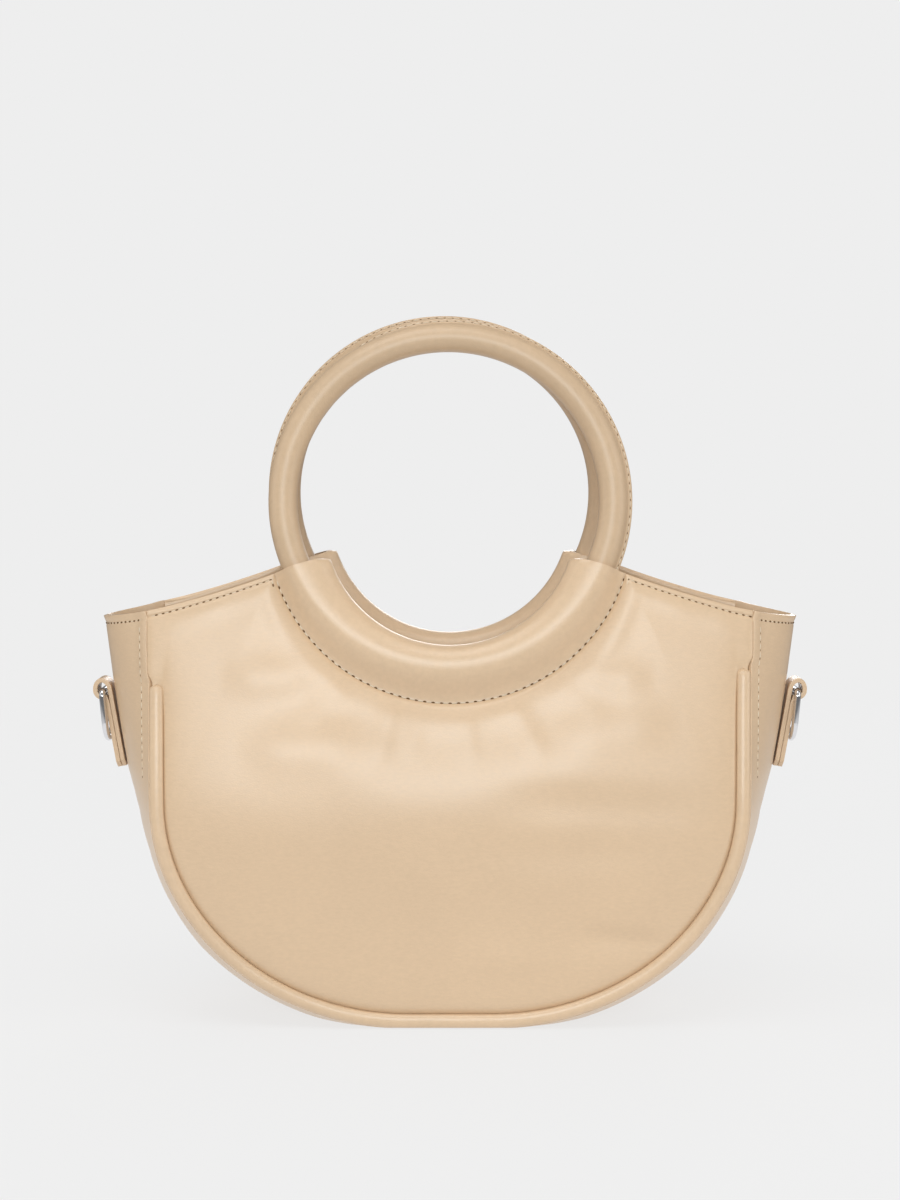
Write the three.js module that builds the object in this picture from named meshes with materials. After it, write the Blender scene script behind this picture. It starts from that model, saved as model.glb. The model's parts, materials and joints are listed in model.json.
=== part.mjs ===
// Ring handle bag: a half-moon handbag of smooth leather with two leather-covered ring handles.
// Millimetres. +X is to the right, -Y is the front and +Z is up.
// The origin is the middle of the base, on the surface that the bag stands on.

import * as THREE from "three";

// Leather and clearances
const wall = 2; // the body's leather, with its backing
const gap = 0.3; // left between pieces that are sewn or laid against each other

// Body
const seamWidth = 224; // across the seam outline where its round corners end
const mouthWidth = 227; // across the seam outline at the mouth
const mouthHeight = 156; // the mouth's corners above the base
const cornerRadius = 86; // height of the seam outline's round lower corners
const cornerWidth = 96; // across each of these corners
const baseDepth = 76; // from front seam to back seam at the base
const panelPuff = 4; // how far the middle of a panel stands out of its seams
const hemSag = 1.5; // how far the mouth's edge hangs between its corner and the collar

// Gusset: the strip that runs round from one end of the mouth to the other
const sideReach = 20.3; // how far its fold stands out of the seams at the mouth
const rimSag = 3.3; // how far its upper edge dips between the seams
const rimSagPower = 4; // how quickly that dip dies out downwards
const foldSharpness = 1.8; // power of its section: 2 is a round bow, 1 a sharp fold

// Piping
const pipingWidth = 5.3; // seen from the front
const pipingThickness = 4; // from front to back
const pipingProud = 0.8; // its middle stands this far in front of the seam
const pipingTopLeft = 129; // height of its left end
const pipingTopRight = 135; // height of its right end
const pipingTipShare = 0.25; // where its round end is cut, as a share of half its width
const pipingTipSize = 0.35; // size of its end faces, as a share of its section

// Ring handles
const ringDiameter = 125.4; // across the middle of the tube
const tubeDiameter = 11;
const flangeHeight = 1.7; // the sewn edge of the ring's cover
const flangeThickness = 2;

// Collars: the sleeves of leather that hold the rings
const collarLeather = 1.45;
const collarBand = 21.9; // from the collar's round edge to its row of stitches
const collarDrop = 8; // the collar's centre below the ring's centre
const collarEndAngle = 17; // degrees below the horizontal where a sleeve ends

// How each ring stands
const frontLean = 11.2; // degrees, towards the back
const frontRingDepth = 15; // the front ring's centre in front of the middle
const frontRingRise = 41.6; // its centre above the mouth's corners
const frontRingShift = -0.7; // its centre to the right of the middle
const frontUprightTo = 40; // the front wall stands upright up to this height
const backLean = 1.5; // degrees, towards the front
const backRingDepth = 24.3;
const backRingRise = 42.8;
const backRingShift = -2.2;
const backUprightTo = 30;

// Strap tabs and D-rings
const tabWidth = 10.4;
const tabStrap = 1.8; // one layer of the folded strap
const tabFoot = 94; // height of the tab's lower end
const tabTop = 127.2; // height of the top of the tab's loop
const loopSlack = 0.65; // between the wire and the strap's loop, were the wire in its middle
const wireDiameter = 2.5;
const dRingHeight = 21.2; // outside
const dRingBend = 2; // radius of the bends at the ends of the bar
const dRingLean = 5; // degrees that it leans in against the tab
const nearestPoints = 0.3; // points of its line that lie closer than this are one

// How finely round forms are divided
const panelHemCells = 5;
const panelArcCells = 24;
const panelRows = 8;
const gussetCells = 44;
const gussetRows = 8;
const pipingCells = 42;
const pipingSides = 8;
const ringSegments = 46;
const collarCells = 20;
const wireSides = 8;
const bendCells = 3;
const tabCurveCells = 7;

// Places between the ends of a tab's seat where its clearance of the bowed fold is measured
const seatShares = [0.25, 0.5, 0.75];
const searchWidth = 1e-6; // share of the outline at which the search for a height ends

// Finishes
const leatherColour = new THREE.Color(0.71, 0.53, 0.36);
const leatherRoughness = 0.42;
const metalColour = new THREE.Color(0.78, 0.78, 0.8);
const metalRoughness = 0.12;

// The gusset's reach out of the seam outline: height as a share of the mouth's height,
// reach as a share of the reach at the mouth.
const gussetReach = [
  { height: 0, reach: 0.48 },
  { height: 0.2, reach: 0.5 },
  { height: 0.28, reach: 0.45 },
  { height: 0.42, reach: 0.39 },
  { height: 0.51, reach: 0.44 },
  { height: 0.61, reach: 0.64 },
  { height: 0.71, reach: 0.76 },
  { height: 0.81, reach: 0.86 },
  { height: 1, reach: 1 },
];

// The section of a collar, from its sewn edge to its round edge. Reach runs from 1 at the sewn
// edge over 0 at the middle of the tube to -1 at the round edge, and swell is a share of the
// radius of the leather round the tube.
const collarSection = [
  { reach: 1, swell: 0.19 },
  { reach: 0.55, swell: 0.52 },
  { reach: 0.2, swell: 0.92 },
  { reach: -0.3, swell: 0.97 },
  { reach: -0.72, swell: 0.72 },
  { reach: -1, swell: 0.25 },
];

// The round part of a ring's section: degrees from its outer side.
const tubeAngles = [40, 80, 120, 160];

// Soft dents and swellings of the panels. Across is a share of half the mouth's width, up a share
// of the mouth's height, wide and tall are shares of the same sizes, and rise is a share of the puff.
const frontFolds = [
  { across: -0.33, up: 0.66, wide: 0.2, tall: 0.1, rise: 0.3 },
  { across: 0.38, up: 0.64, wide: 0.22, tall: 0.09, rise: 0.3 },
  { across: 0.45, up: 0.43, wide: 0.3, tall: 0.05, rise: -0.25 },
  { across: 0.5, up: 0.18, wide: 0.22, tall: 0.07, rise: -0.3 },
  { across: -0.55, up: 0.35, wide: 0.25, tall: 0.16, rise: 0.15 },
];
const backFolds = [
  { across: 0, up: 0.6, wide: 0.35, tall: 0.1, rise: 0.25 },
  { across: -0.45, up: 0.3, wide: 0.25, tall: 0.08, rise: -0.25 },
];

// Values that follow from the ones above
const tubeRadius = tubeDiameter / 2;
const ringRadius = ringDiameter / 2;
const coverRadius = tubeRadius + gap + collarLeather;
const collarInner = ringRadius - collarDrop - coverRadius;
const collarOuter = collarInner + collarBand;
const loopHollow = wireDiameter / 2 + loopSlack;
const loopRadius = loopHollow + tabStrap;
const loopHeight = tabTop - loopRadius;
const dRingInnerWidth = tabWidth + 2 * gap;

const front = {
  name: "front",
  outward: -1,
  lean: THREE.MathUtils.degToRad(frontLean),
  ringDepth: frontRingDepth,
  ringHeight: mouthHeight + frontRingRise,
  ringShift: frontRingShift,
  uprightTo: frontUprightTo,
  folds: frontFolds,
};
const back = {
  name: "back",
  outward: 1,
  lean: THREE.MathUtils.degToRad(backLean),
  ringDepth: backRingDepth,
  ringHeight: mouthHeight + backRingRise,
  ringShift: backRingShift,
  uprightTo: backUprightTo,
  folds: backFolds,
};

// A solid skinned over loops of points that all have the same even number of points. An open
// row of loops is capped by strips that join each loop's first half to its second half.
function loft(loops, closed) {
  const count = loops[0].length;
  const positions = loops.flat().flatMap((point) => [point.x, point.y, point.z]);
  const index = [];
  const quad = (a, b, c, d) => index.push(a, b, c, a, c, d);
  const steps = closed ? loops.length : loops.length - 1;
  for (let i = 0; i < steps; i += 1) {
    const here = i * count;
    const next = ((i + 1) % loops.length) * count;
    for (let j = 0; j < count; j += 1) {
      const k = (j + 1) % count;
      quad(here + j, here + k, next + k, next + j);
    }
  }
  if (!closed) {
    const last = (loops.length - 1) * count;
    for (let j = 0; j < count / 2 - 1; j += 1) {
      const opposite = count - 1 - j;
      quad(opposite, opposite - 1, j + 1, j);
      quad(last + j, last + j + 1, last + opposite - 1, last + opposite);
    }
  }
  if (signedVolume(positions, index) < 0) index.reverse();
  const geometry = new THREE.BufferGeometry();
  geometry.setAttribute("position", new THREE.Float32BufferAttribute(positions, 3));
  geometry.setIndex(index);
  geometry.computeVertexNormals();
  return geometry;
}

// Six times the volume inside a closed skin, negative when its faces point inwards.
function signedVolume(positions, index) {
  const corner = (i) => new THREE.Vector3().fromArray(positions, index[i] * 3);
  let sum = 0;
  for (let i = 0; i < index.length; i += 3) {
    sum += corner(i).dot(corner(i + 1).cross(corner(i + 2)));
  }
  return sum;
}

// A named mesh with a material of its own.
function piece(name, geometry, colour, roughness, metalness) {
  const material = new THREE.MeshStandardMaterial({ color: colour, roughness, metalness });
  const mesh = new THREE.Mesh(geometry, material);
  mesh.name = name;
  return mesh;
}

function leatherPiece(name, geometry) {
  return piece(name, geometry, leatherColour, leatherRoughness, 0);
}

function metalPiece(name, geometry) {
  return piece(name, geometry, metalColour, metalRoughness, 1);
}

// A table's value at a place between its rows.
function readTable(rows, key, at, value) {
  const above = rows.findIndex((row) => row[key] >= at);
  if (above < 0) return rows[rows.length - 1][value];
  if (above === 0) return rows[0][value];
  const [low, high] = [rows[above - 1], rows[above]];
  const share = (at - low[key]) / (high[key] - low[key]);
  return THREE.MathUtils.lerp(low[value], high[value], share);
}

// Half the width of the seam outline on its nearly upright sides.
function seamHalfWidth(height) {
  const share = (height - cornerRadius) / (mouthHeight - cornerRadius);
  return THREE.MathUtils.lerp(seamWidth, mouthWidth, share) / 2;
}

// The seam outline seen from the front, moved inwards by an inset: from its left top
// down, along the base and up to its right top.
function seamOutline(inset, leftTop, rightTop) {
  const turn = seamWidth / 2 - cornerWidth;
  const wide = cornerWidth - inset;
  const tall = cornerRadius - inset;
  const path = new THREE.Path();
  path.moveTo(inset - seamHalfWidth(leftTop), leftTop);
  path.lineTo(-turn - wide, cornerRadius);
  path.absellipse(-turn, cornerRadius, wide, tall, Math.PI, 1.5 * Math.PI, false);
  path.absellipse(turn, cornerRadius, wide, tall, 1.5 * Math.PI, 2 * Math.PI, false);
  path.lineTo(seamHalfWidth(rightTop) - inset, rightTop);
  return path;
}

// The direction out of the outline at a share of its length.
function outwardAt(path, share) {
  const along = path.getTangent(share);
  return new THREE.Vector2(along.y, -along.x);
}

// The lowest point of a collar's sewn edge.
function collarFoot(side) {
  return side.ringHeight - (collarDrop + collarOuter) * Math.cos(side.lean);
}

// How far the middle of a wall lies in front of or behind the bag's middle, at a height.
// It stands upright at the base and leans in the ring's plane from the collar's foot upwards.
function wallDepth(side, height) {
  const plane = side.ringDepth + (side.ringHeight - height) * Math.tan(side.lean);
  const blend = THREE.MathUtils.smoothstep(height, side.uprightTo, collarFoot(side));
  return THREE.MathUtils.lerp(baseDepth / 2, plane, blend);
}

// A point of the collar's plane, seen from the front, at an angle and radius about its centre.
function collarPoint(side, angle, radius) {
  const rise = (radius * Math.sin(angle) - collarDrop) * Math.cos(side.lean);
  return new THREE.Vector2(radius * Math.cos(angle), side.ringHeight + rise);
}

// The panel's upper edge seen from the front: hem, sewn edge of the collar, hem.
function panelTop(side) {
  const edge = collarOuter + gap;
  const start = THREE.MathUtils.degToRad(collarEndAngle);
  const collarEnd = collarPoint(side, -start, edge);
  const corner = new THREE.Vector2(seamHalfWidth(mouthHeight), mouthHeight);
  const middle = corner.clone().lerp(collarEnd, 0.5);
  const bend = new THREE.Vector2(middle.x, middle.y - hemSag);
  const hem = new THREE.QuadraticBezierCurve(corner, bend, collarEnd).getSpacedPoints(panelHemCells);
  const arc = [];
  for (let i = 1; i < panelArcCells; i += 1) {
    const angle = THREE.MathUtils.lerp(-start, start - Math.PI, i / panelArcCells);
    arc.push(collarPoint(side, angle, edge));
  }
  const mirrored = hem.map((point) => new THREE.Vector2(-point.x, point.y)).reverse();
  return [...hem, ...arc, ...mirrored].reverse();
}

// The panel's lower edge seen from the front: it follows the piping's inner side and steps out
// over the piping's ends.
function panelFoot(cells) {
  const inset = pipingWidth + gap;
  const left = pipingTopLeft + gap;
  const right = pipingTopRight + gap;
  const path = seamOutline(inset, left, right);
  const points = [new THREE.Vector2(-seamHalfWidth(left), left)];
  for (let i = 1; i < cells; i += 1) points.push(path.getPoint((i - 1) / (cells - 2)));
  points.push(new THREE.Vector2(seamHalfWidth(right), right));
  return points;
}

// How far a panel stands out of its seams: u runs from left to right and v from foot to top.
function puffAt(side, u, v, x, z) {
  const crown = Math.sqrt(Math.sin(Math.PI * u) * Math.sin(Math.PI * v));
  const folds = side.folds.reduce((sum, fold) => {
    const across = (x - (fold.across * mouthWidth) / 2) / ((fold.wide * mouthWidth) / 2);
    const up = (z - fold.up * mouthHeight) / (fold.tall * mouthHeight);
    return sum + fold.rise * Math.exp(-across * across - up * up);
  }, 0);
  return panelPuff * crown * (1 + folds);
}

// A front or back panel: a wall of leather between the piping, the mouth and the collar.
function panel(side) {
  const top = panelTop(side);
  const cells = top.length - 1;
  const foot = panelFoot(cells);
  const loops = top.map((upper, i) => {
    const outer = [];
    const inner = [];
    for (let j = 0; j <= panelRows; j += 1) {
      const v = j / panelRows;
      const place = foot[i].clone().lerp(upper, v);
      const depth = wallDepth(side, place.y) + puffAt(side, i / cells, v, place.x, place.y);
      const at = (offset) => new THREE.Vector3(place.x, side.outward * (depth + offset), place.y);
      outer.push(at(wall / 2));
      inner.unshift(at(-wall / 2));
    }
    return [...outer, ...inner];
  });
  return leatherPiece(`${side.name}_panel`, loft(loops, false));
}

// A point of the gusset: share runs along the seam outline, across runs from -1 at the front
// seam to 1 at the back seam, and inset goes into its leather.
function gussetPoint(path, share, across, inset) {
  const seam = path.getPoint(share);
  const out = outwardAt(path, share);
  const height = seam.y / mouthHeight;
  const reach = sideReach * readTable(gussetReach, "height", height, "reach");
  const bow = reach * (1 - Math.abs(across) ** foldSharpness) - inset;
  const side = across < 0 ? front : back;
  const hidden = pipingThickness / 2 - pipingProud + gap;
  const depth = Math.abs(across) * (wallDepth(side, seam.y) - hidden);
  const dip = rimSag * (1 - across * across) * height ** rimSagPower;
  const z = Math.max(inset, seam.y + out.y * bow - dip);
  return new THREE.Vector3(seam.x + out.x * bow, side.outward * depth, z);
}

function gussetOutline() {
  return seamOutline(0, mouthHeight, mouthHeight);
}

// The gusset: one long strip, folded outwards along its middle and flat where it rests.
function gusset() {
  const path = gussetOutline();
  const loops = [];
  for (let i = 0; i <= gussetCells; i += 1) {
    const outer = [];
    const inner = [];
    for (let j = 0; j <= gussetRows; j += 1) {
      const across = (2 * j) / gussetRows - 1;
      outer.push(gussetPoint(path, i / gussetCells, across, 0));
      inner.unshift(gussetPoint(path, i / gussetCells, across, wall));
    }
    loops.push([...outer, ...inner]);
  }
  return leatherPiece("gusset", loft(loops, false));
}

// The piping of one seam: a flat welt with round ends.
function piping(side) {
  const path = seamOutline(pipingWidth / 2, pipingTopLeft, pipingTopRight);
  const length = path.getLength();
  const endRadius = pipingWidth / 2;
  const tip = pipingTipShare * endRadius;
  const stations = [0, tip];
  for (let i = 0; i <= pipingCells; i += 1) {
    stations.push(endRadius + ((length - 2 * endRadius) * i) / pipingCells);
  }
  stations.push(length - tip, length);
  const loops = stations.map((station) => {
    const fromEnd = Math.min(station, length - station, endRadius) / endRadius;
    const size = Math.max(pipingTipSize, Math.sqrt(1 - (1 - fromEnd) ** 2));
    const centre = path.getPoint(station / length);
    const out = outwardAt(path, station / length);
    const depth = wallDepth(side, centre.y) + pipingProud;
    const loop = [];
    for (let j = 0; j < pipingSides; j += 1) {
      const angle = (2 * Math.PI * j) / pipingSides;
      const wide = size * Math.cos(angle) * (pipingWidth / 2);
      const thick = size * Math.sin(angle) * (pipingThickness / 2);
      const y = side.outward * (depth + thick);
      loop.push(new THREE.Vector3(centre.x + out.x * wide, y, centre.y + out.y * wide));
    }
    return loop;
  });
  return leatherPiece(`${side.name}_piping`, loft(loops, false));
}

// Half of a ring's section, grown by a clearance, from the flange's tip to the inner side:
// x is the distance out from the tube's middle, y the distance along the ring's axis.
function ringSection(clearance) {
  const radius = tubeRadius + clearance;
  const half = flangeThickness / 2 + clearance;
  const round = tubeAngles.map((degrees) => {
    const angle = THREE.MathUtils.degToRad(degrees);
    return new THREE.Vector2(radius * Math.cos(angle), radius * Math.sin(angle));
  });
  const tip = new THREE.Vector2(radius + flangeHeight, half);
  const root = new THREE.Vector2(Math.sqrt(radius * radius - half * half), half);
  return [tip, root, ...round];
}

// A half section and its mirror image as one loop.
function wholeLoop(half) {
  const mirrored = half.map((point) => new THREE.Vector2(point.x, -point.y)).reverse();
  return [...half, ...mirrored];
}

// A whole leather-covered ring with the sewn edge of its cover, about the Y axis.
function ring(side) {
  const profile = wholeLoop(ringSection(0)).map(
    (point) => new THREE.Vector2(ringRadius + point.x, point.y),
  );
  profile.push(profile[0].clone());
  const geometry = new THREE.LatheGeometry(profile, ringSegments);
  return leatherPiece(`${side.name}_ring`, geometry);
}

// The sleeve round the lower part of a ring, in the ring's own plane. Its outer skin runs from
// the left end to the right end, and the channel for the ring runs back inside it.
function collar(side) {
  const centre = new THREE.Vector2(-side.ringShift, -collarDrop);
  const start = THREE.MathUtils.degToRad(collarEndAngle);
  const skin = [];
  const channel = [];
  for (let i = 0; i <= collarCells; i += 1) {
    const angle = THREE.MathUtils.lerp(start - Math.PI, -start, i / collarCells);
    const direction = new THREE.Vector2(Math.cos(angle), Math.sin(angle));
    const along = -direction.dot(centre);
    const tube = along + Math.sqrt(ringRadius ** 2 - centre.lengthSq() + along * along);
    const outer = collarSection.map((row) => {
      const room = row.reach > 0 ? collarOuter - tube : tube - collarInner;
      return new THREE.Vector2(tube + row.reach * room, row.swell * coverRadius);
    });
    const flat = (origin, way, point) => {
      const spot = origin.clone().addScaledVector(way, point.x);
      return new THREE.Vector3(spot.x, point.y, spot.y);
    };
    skin.push(wholeLoop(outer).map((point) => flat(centre, direction, point)));
    const tubeWay = centre.clone().addScaledVector(direction, tube).normalize();
    const onTube = new THREE.Vector2(0, 0).addScaledVector(tubeWay, ringRadius);
    channel.unshift(wholeLoop(ringSection(gap)).map((point) => flat(onTube, tubeWay, point)));
  }
  return leatherPiece(`${side.name}_collar`, loft([...skin, ...channel], true));
}

// A ring in its collar, leaning with the wall that carries it.
function handle(side) {
  const group = new THREE.Group();
  group.add(ring(side), collar(side));
  group.position.set(side.ringShift, side.outward * side.ringDepth, side.ringHeight);
  group.rotation.x = side.outward * side.lean;
  return group;
}

// The outermost point of the right half of the gusset at a height.
function foldPoint(height) {
  const path = gussetOutline();
  let [low, high] = [0.5, 1];
  while (high - low > searchWidth) {
    const middle = (low + high) / 2;
    if (gussetPoint(path, middle, 0, 0).z < height) low = middle;
    else high = middle;
  }
  return gussetPoint(path, low, 0, 0);
}

// Where the right tab is sewn on: a straight line that clears the bowed fold by the gap.
// Along is the way up the strap from its foot to the middle of its loop.
function tabSeat() {
  const foot = foldPoint(tabFoot);
  const top = foldPoint(loopHeight);
  const lean = Math.atan2(top.x - foot.x, top.z - foot.z);
  const rises = seatShares.map((share) => {
    const height = THREE.MathUtils.lerp(tabFoot, loopHeight, share);
    return foldPoint(height).x - THREE.MathUtils.lerp(foot.x, top.x, share);
  });
  const clear = (Math.max(0, ...rises) + gap) / Math.cos(lean);
  const along = (loopHeight - foot.z + loopRadius * Math.sin(lean)) / Math.cos(lean);
  return { x: foot.x + clear, z: foot.z, lean, along };
}

// A strap folded over the bar of a D-ring, its two layers sewn together below.
function tab(name, seat) {
  const face = 2 * tabStrap;
  const shape = new THREE.Shape();
  shape.moveTo(0, 0);
  shape.lineTo(face, 0);
  const meet = -Math.acos((face - loopRadius) / loopRadius);
  shape.absarc(loopRadius, seat.along, loopRadius, meet, Math.PI, false);
  shape.closePath();
  const hollow = new THREE.Path();
  hollow.absarc(loopRadius, seat.along, loopHollow, 0, 2 * Math.PI, true);
  shape.holes.push(hollow);
  const options = { depth: tabWidth, bevelEnabled: false, curveSegments: tabCurveCells };
  const geometry = new THREE.ExtrudeGeometry(shape, options);
  geometry.translate(0, 0, -tabWidth / 2);
  geometry.rotateX(Math.PI / 2);
  const mesh = leatherPiece(name, geometry);
  mesh.position.set(seat.x, 0, seat.z);
  mesh.rotation.y = seat.lean;
  return mesh;
}

// A D-ring that hangs from its straight bar: the bar lies along Y through the mesh's origin.
function dRing(name) {
  const half = (dRingInnerWidth + wireDiameter) / 2;
  const drop = dRingHeight - wireDiameter;
  const path = new THREE.Path();
  path.moveTo(dRingBend - half, 0);
  path.absarc(half - dRingBend, -dRingBend, dRingBend, Math.PI / 2, 0, true);
  path.absarc(0, half - drop, half, 0, -Math.PI / 2, true);
  path.absarc(0, half - drop, half, -Math.PI / 2, -Math.PI, true);
  path.absarc(dRingBend - half, -dRingBend, dRingBend, Math.PI, Math.PI / 2, true);
  const points = path.getPoints(bendCells);
  const near = (a, b) => a.distanceTo(b) < nearestPoints;
  const places = points.filter((point, i) => i === 0 || !near(point, points[i - 1]));
  if (near(places[0], places[places.length - 1])) places.pop();
  const loops = places.map((place, i) => {
    const before = places[(i + places.length - 1) % places.length];
    const after = places[(i + 1) % places.length];
    const along = place.clone().sub(before).normalize();
    along.add(after.clone().sub(place).normalize()).normalize();
    const loop = [];
    for (let j = 0; j < wireSides; j += 1) {
      const angle = (2 * Math.PI * j) / wireSides;
      const wide = (Math.cos(angle) * wireDiameter) / 2;
      const thick = (Math.sin(angle) * wireDiameter) / 2;
      loop.push(new THREE.Vector3(thick, place.x - along.y * wide, place.y + along.x * wide));
    }
    return loop;
  });
  return metalPiece(name, loft(loops, true));
}

// A tab and its D-ring on one end of the bag: the right end, or turned half round the left end.
function strapFitting(name, turn) {
  const seat = tabSeat();
  const loopX = seat.x + loopRadius * Math.cos(seat.lean) + seat.along * Math.sin(seat.lean);
  const group = new THREE.Group();
  const hanging = dRing(`${name}_d_ring`);
  hanging.position.set(loopX, 0, loopHeight - (loopSlack - gap));
  hanging.rotation.y = THREE.MathUtils.degToRad(dRingLean);
  group.add(tab(`${name}_tab`, seat), hanging);
  group.rotation.z = turn;
  return group;
}

const bag = new THREE.Group();
bag.add(gusset());
for (const side of [front, back]) bag.add(panel(side), piping(side), handle(side));
bag.add(strapFitting("right", 0), strapFitting("left", Math.PI));

export default bag;
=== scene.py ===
"""Ring handle bag: the leather, thread and metal of a half-moon handbag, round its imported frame.

The shape functions repeat the sizes and curves of the part's source in millimetres, and what is
built from them is placed in metres. +X is to the right, -Y is the front and +Z is up.
"""

import json
import logging
import math
from dataclasses import dataclass, field
from enum import Enum
from typing import Callable, Dict, List, Sequence, Tuple

import bpy
from mathutils import Matrix, Vector

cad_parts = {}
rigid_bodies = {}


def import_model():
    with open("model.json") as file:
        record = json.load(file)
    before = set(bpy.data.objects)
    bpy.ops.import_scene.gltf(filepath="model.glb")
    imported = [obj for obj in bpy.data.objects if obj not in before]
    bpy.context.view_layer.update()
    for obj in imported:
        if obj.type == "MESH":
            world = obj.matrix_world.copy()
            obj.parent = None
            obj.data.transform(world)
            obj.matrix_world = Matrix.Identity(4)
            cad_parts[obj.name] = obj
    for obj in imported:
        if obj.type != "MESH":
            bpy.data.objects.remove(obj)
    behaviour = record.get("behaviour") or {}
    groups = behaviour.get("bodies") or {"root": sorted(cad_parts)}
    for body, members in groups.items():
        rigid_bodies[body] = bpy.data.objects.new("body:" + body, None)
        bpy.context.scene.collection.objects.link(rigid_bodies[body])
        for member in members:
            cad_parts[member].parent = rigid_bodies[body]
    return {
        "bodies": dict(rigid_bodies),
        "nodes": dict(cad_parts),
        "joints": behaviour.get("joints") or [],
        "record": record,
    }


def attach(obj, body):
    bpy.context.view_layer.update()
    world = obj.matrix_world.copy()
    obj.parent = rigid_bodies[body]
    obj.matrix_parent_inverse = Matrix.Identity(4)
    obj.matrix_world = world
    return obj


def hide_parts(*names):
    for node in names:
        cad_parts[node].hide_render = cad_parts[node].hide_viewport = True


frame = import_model()

logging.basicConfig(level=logging.INFO, format="%(levelname)s %(message)s")
LOG = logging.getLogger("ring_handle_bag")

MM = 0.001
Flat = Tuple[float, float]
Colour = Tuple[float, float, float]
Wave = Tuple[float, float, float]
Place = Callable[[float, float], Vector]
StepPlace = Callable[[int, int], Vector]
Stitches = List[Tuple[Vector, Vector, Vector]]


# Small tools of a bench


def smooth_share(value: float, low: float, high: float) -> float:
    """Returns how far a value is from low to high, eased at both ends."""
    share = min(1.0, max(0.0, (value - low) / (high - low)))
    return share * share * (3 - 2 * share)


def mix(low: float, high: float, share: float) -> float:
    """Returns the value at a share of the way from low to high."""
    return low + (high - low) * share


def read_table(rows: Sequence[Flat], at: float) -> float:
    """Reads a table between its rows.

    Args:
        rows: pairs of place and value, in order of place.
        at: the place that is asked for.

    Returns:
        The value there, and the end rows' values past them.
    """
    if at <= rows[0][0]:
        return rows[0][1]
    for (low, low_value), (high, high_value) in zip(rows, rows[1:]):
        if at <= high:
            return mix(low_value, high_value, (at - low) / (high - low))
    return rows[-1][1]


def wavy(mean: float, at: float, waves: Sequence[Wave]) -> float:
    """Returns a value that waves about its mean; each wave has a height, a rate and a start."""
    for rise, rate, start in waves:
        mean += rise * math.sin(rate * at + start)
    return mean


def deselect_all() -> None:
    """Leaves nothing selected, so that an operator acts on the next primitive alone."""
    if bpy.context.object and bpy.context.object.mode != "OBJECT":
        bpy.ops.object.mode_set(mode="OBJECT")
    bpy.ops.object.select_all(action="DESELECT")


def make_active(piece: bpy.types.Object) -> None:
    """Selects one piece alone and makes it the active one."""
    deselect_all()
    piece.select_set(True)
    bpy.context.view_layer.objects.active = piece


def apply_modifier(piece: bpy.types.Object, kind: str, **settings: object) -> None:
    """Adds a modifier to a piece and applies it.

    Args:
        piece: the piece that it shapes.
        kind: the modifier's type.
        settings: its values by name.
    """
    make_active(piece)
    modifier = piece.modifiers.new(kind.title(), kind)
    for name, value in settings.items():
        setattr(modifier, name, value)
    bpy.ops.object.modifier_apply(modifier=modifier.name)


def edit_faces(piece: bpy.types.Object, act: Callable[[], object]) -> None:
    """Runs an operator on all the faces of a piece in edit mode."""
    make_active(piece)
    bpy.ops.object.mode_set(mode="EDIT")
    bpy.ops.mesh.select_all(action="SELECT")
    act()
    bpy.ops.object.mode_set(mode="OBJECT")


def face_outwards(piece: bpy.types.Object) -> None:
    """Turns the faces of a closed skin so that they all point outwards."""
    edit_faces(piece, lambda: bpy.ops.mesh.normals_make_consistent(inside=False))


def turn_inside_out(piece: bpy.types.Object) -> None:
    """Turns every face of an open sheet round."""
    edit_faces(piece, lambda: bpy.ops.mesh.flip_normals())


def dress(piece: bpy.types.Object, degrees: float, *materials: bpy.types.Material) -> None:
    """Shades a piece smooth and gives it its finishes.

    Args:
        piece: the piece.
        degrees: edges sharper than this stay sharp.
        materials: its finishes in the order of its slots.
    """
    make_active(piece)
    bpy.ops.object.shade_smooth_by_angle(angle=math.radians(degrees))
    for material in materials:
        piece.data.materials.append(material)


def rename(piece: bpy.types.Object, name: str) -> bpy.types.Object:
    """Names a piece and its mesh and returns the piece."""
    piece.name = name
    piece.data.name = name
    return piece


def lay_grid(name: str, columns: int, rows: int, place: Place) -> bpy.types.Object:
    """Adds a flat grid and lays its points on a form.

    Args:
        name: the piece's name.
        columns: how many faces across.
        rows: how many faces up.
        place: gives the point in millimetres at a share across and a share up.

    Returns:
        The piece, with the grid's own UV map.
    """
    deselect_all()
    bpy.ops.mesh.primitive_grid_add(x_subdivisions=columns, y_subdivisions=rows, size=1)
    piece = rename(bpy.context.object, name)
    for point in piece.data.vertices:
        point.co = place(point.co.x + 0.5, point.co.y + 0.5) * MM
    return piece


def lay_hoop(name: str, steps: int, sides: int, place: StepPlace) -> bpy.types.Object:
    """Adds a torus and lays its points on a closed tube.

    Args:
        name: the piece's name.
        steps: how many sections it has along its way round.
        sides: how many points each section has.
        place: gives the point in millimetres at a step and a side.

    Returns:
        The piece.
    """
    deselect_all()
    bpy.ops.mesh.primitive_torus_add(
        major_segments=steps, minor_segments=sides, major_radius=1, minor_radius=0.25
    )
    piece = rename(bpy.context.object, name)
    for point in piece.data.vertices:
        point.co = place(point.index // sides, point.index % sides) * MM
    face_outwards(piece)
    return piece


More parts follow.
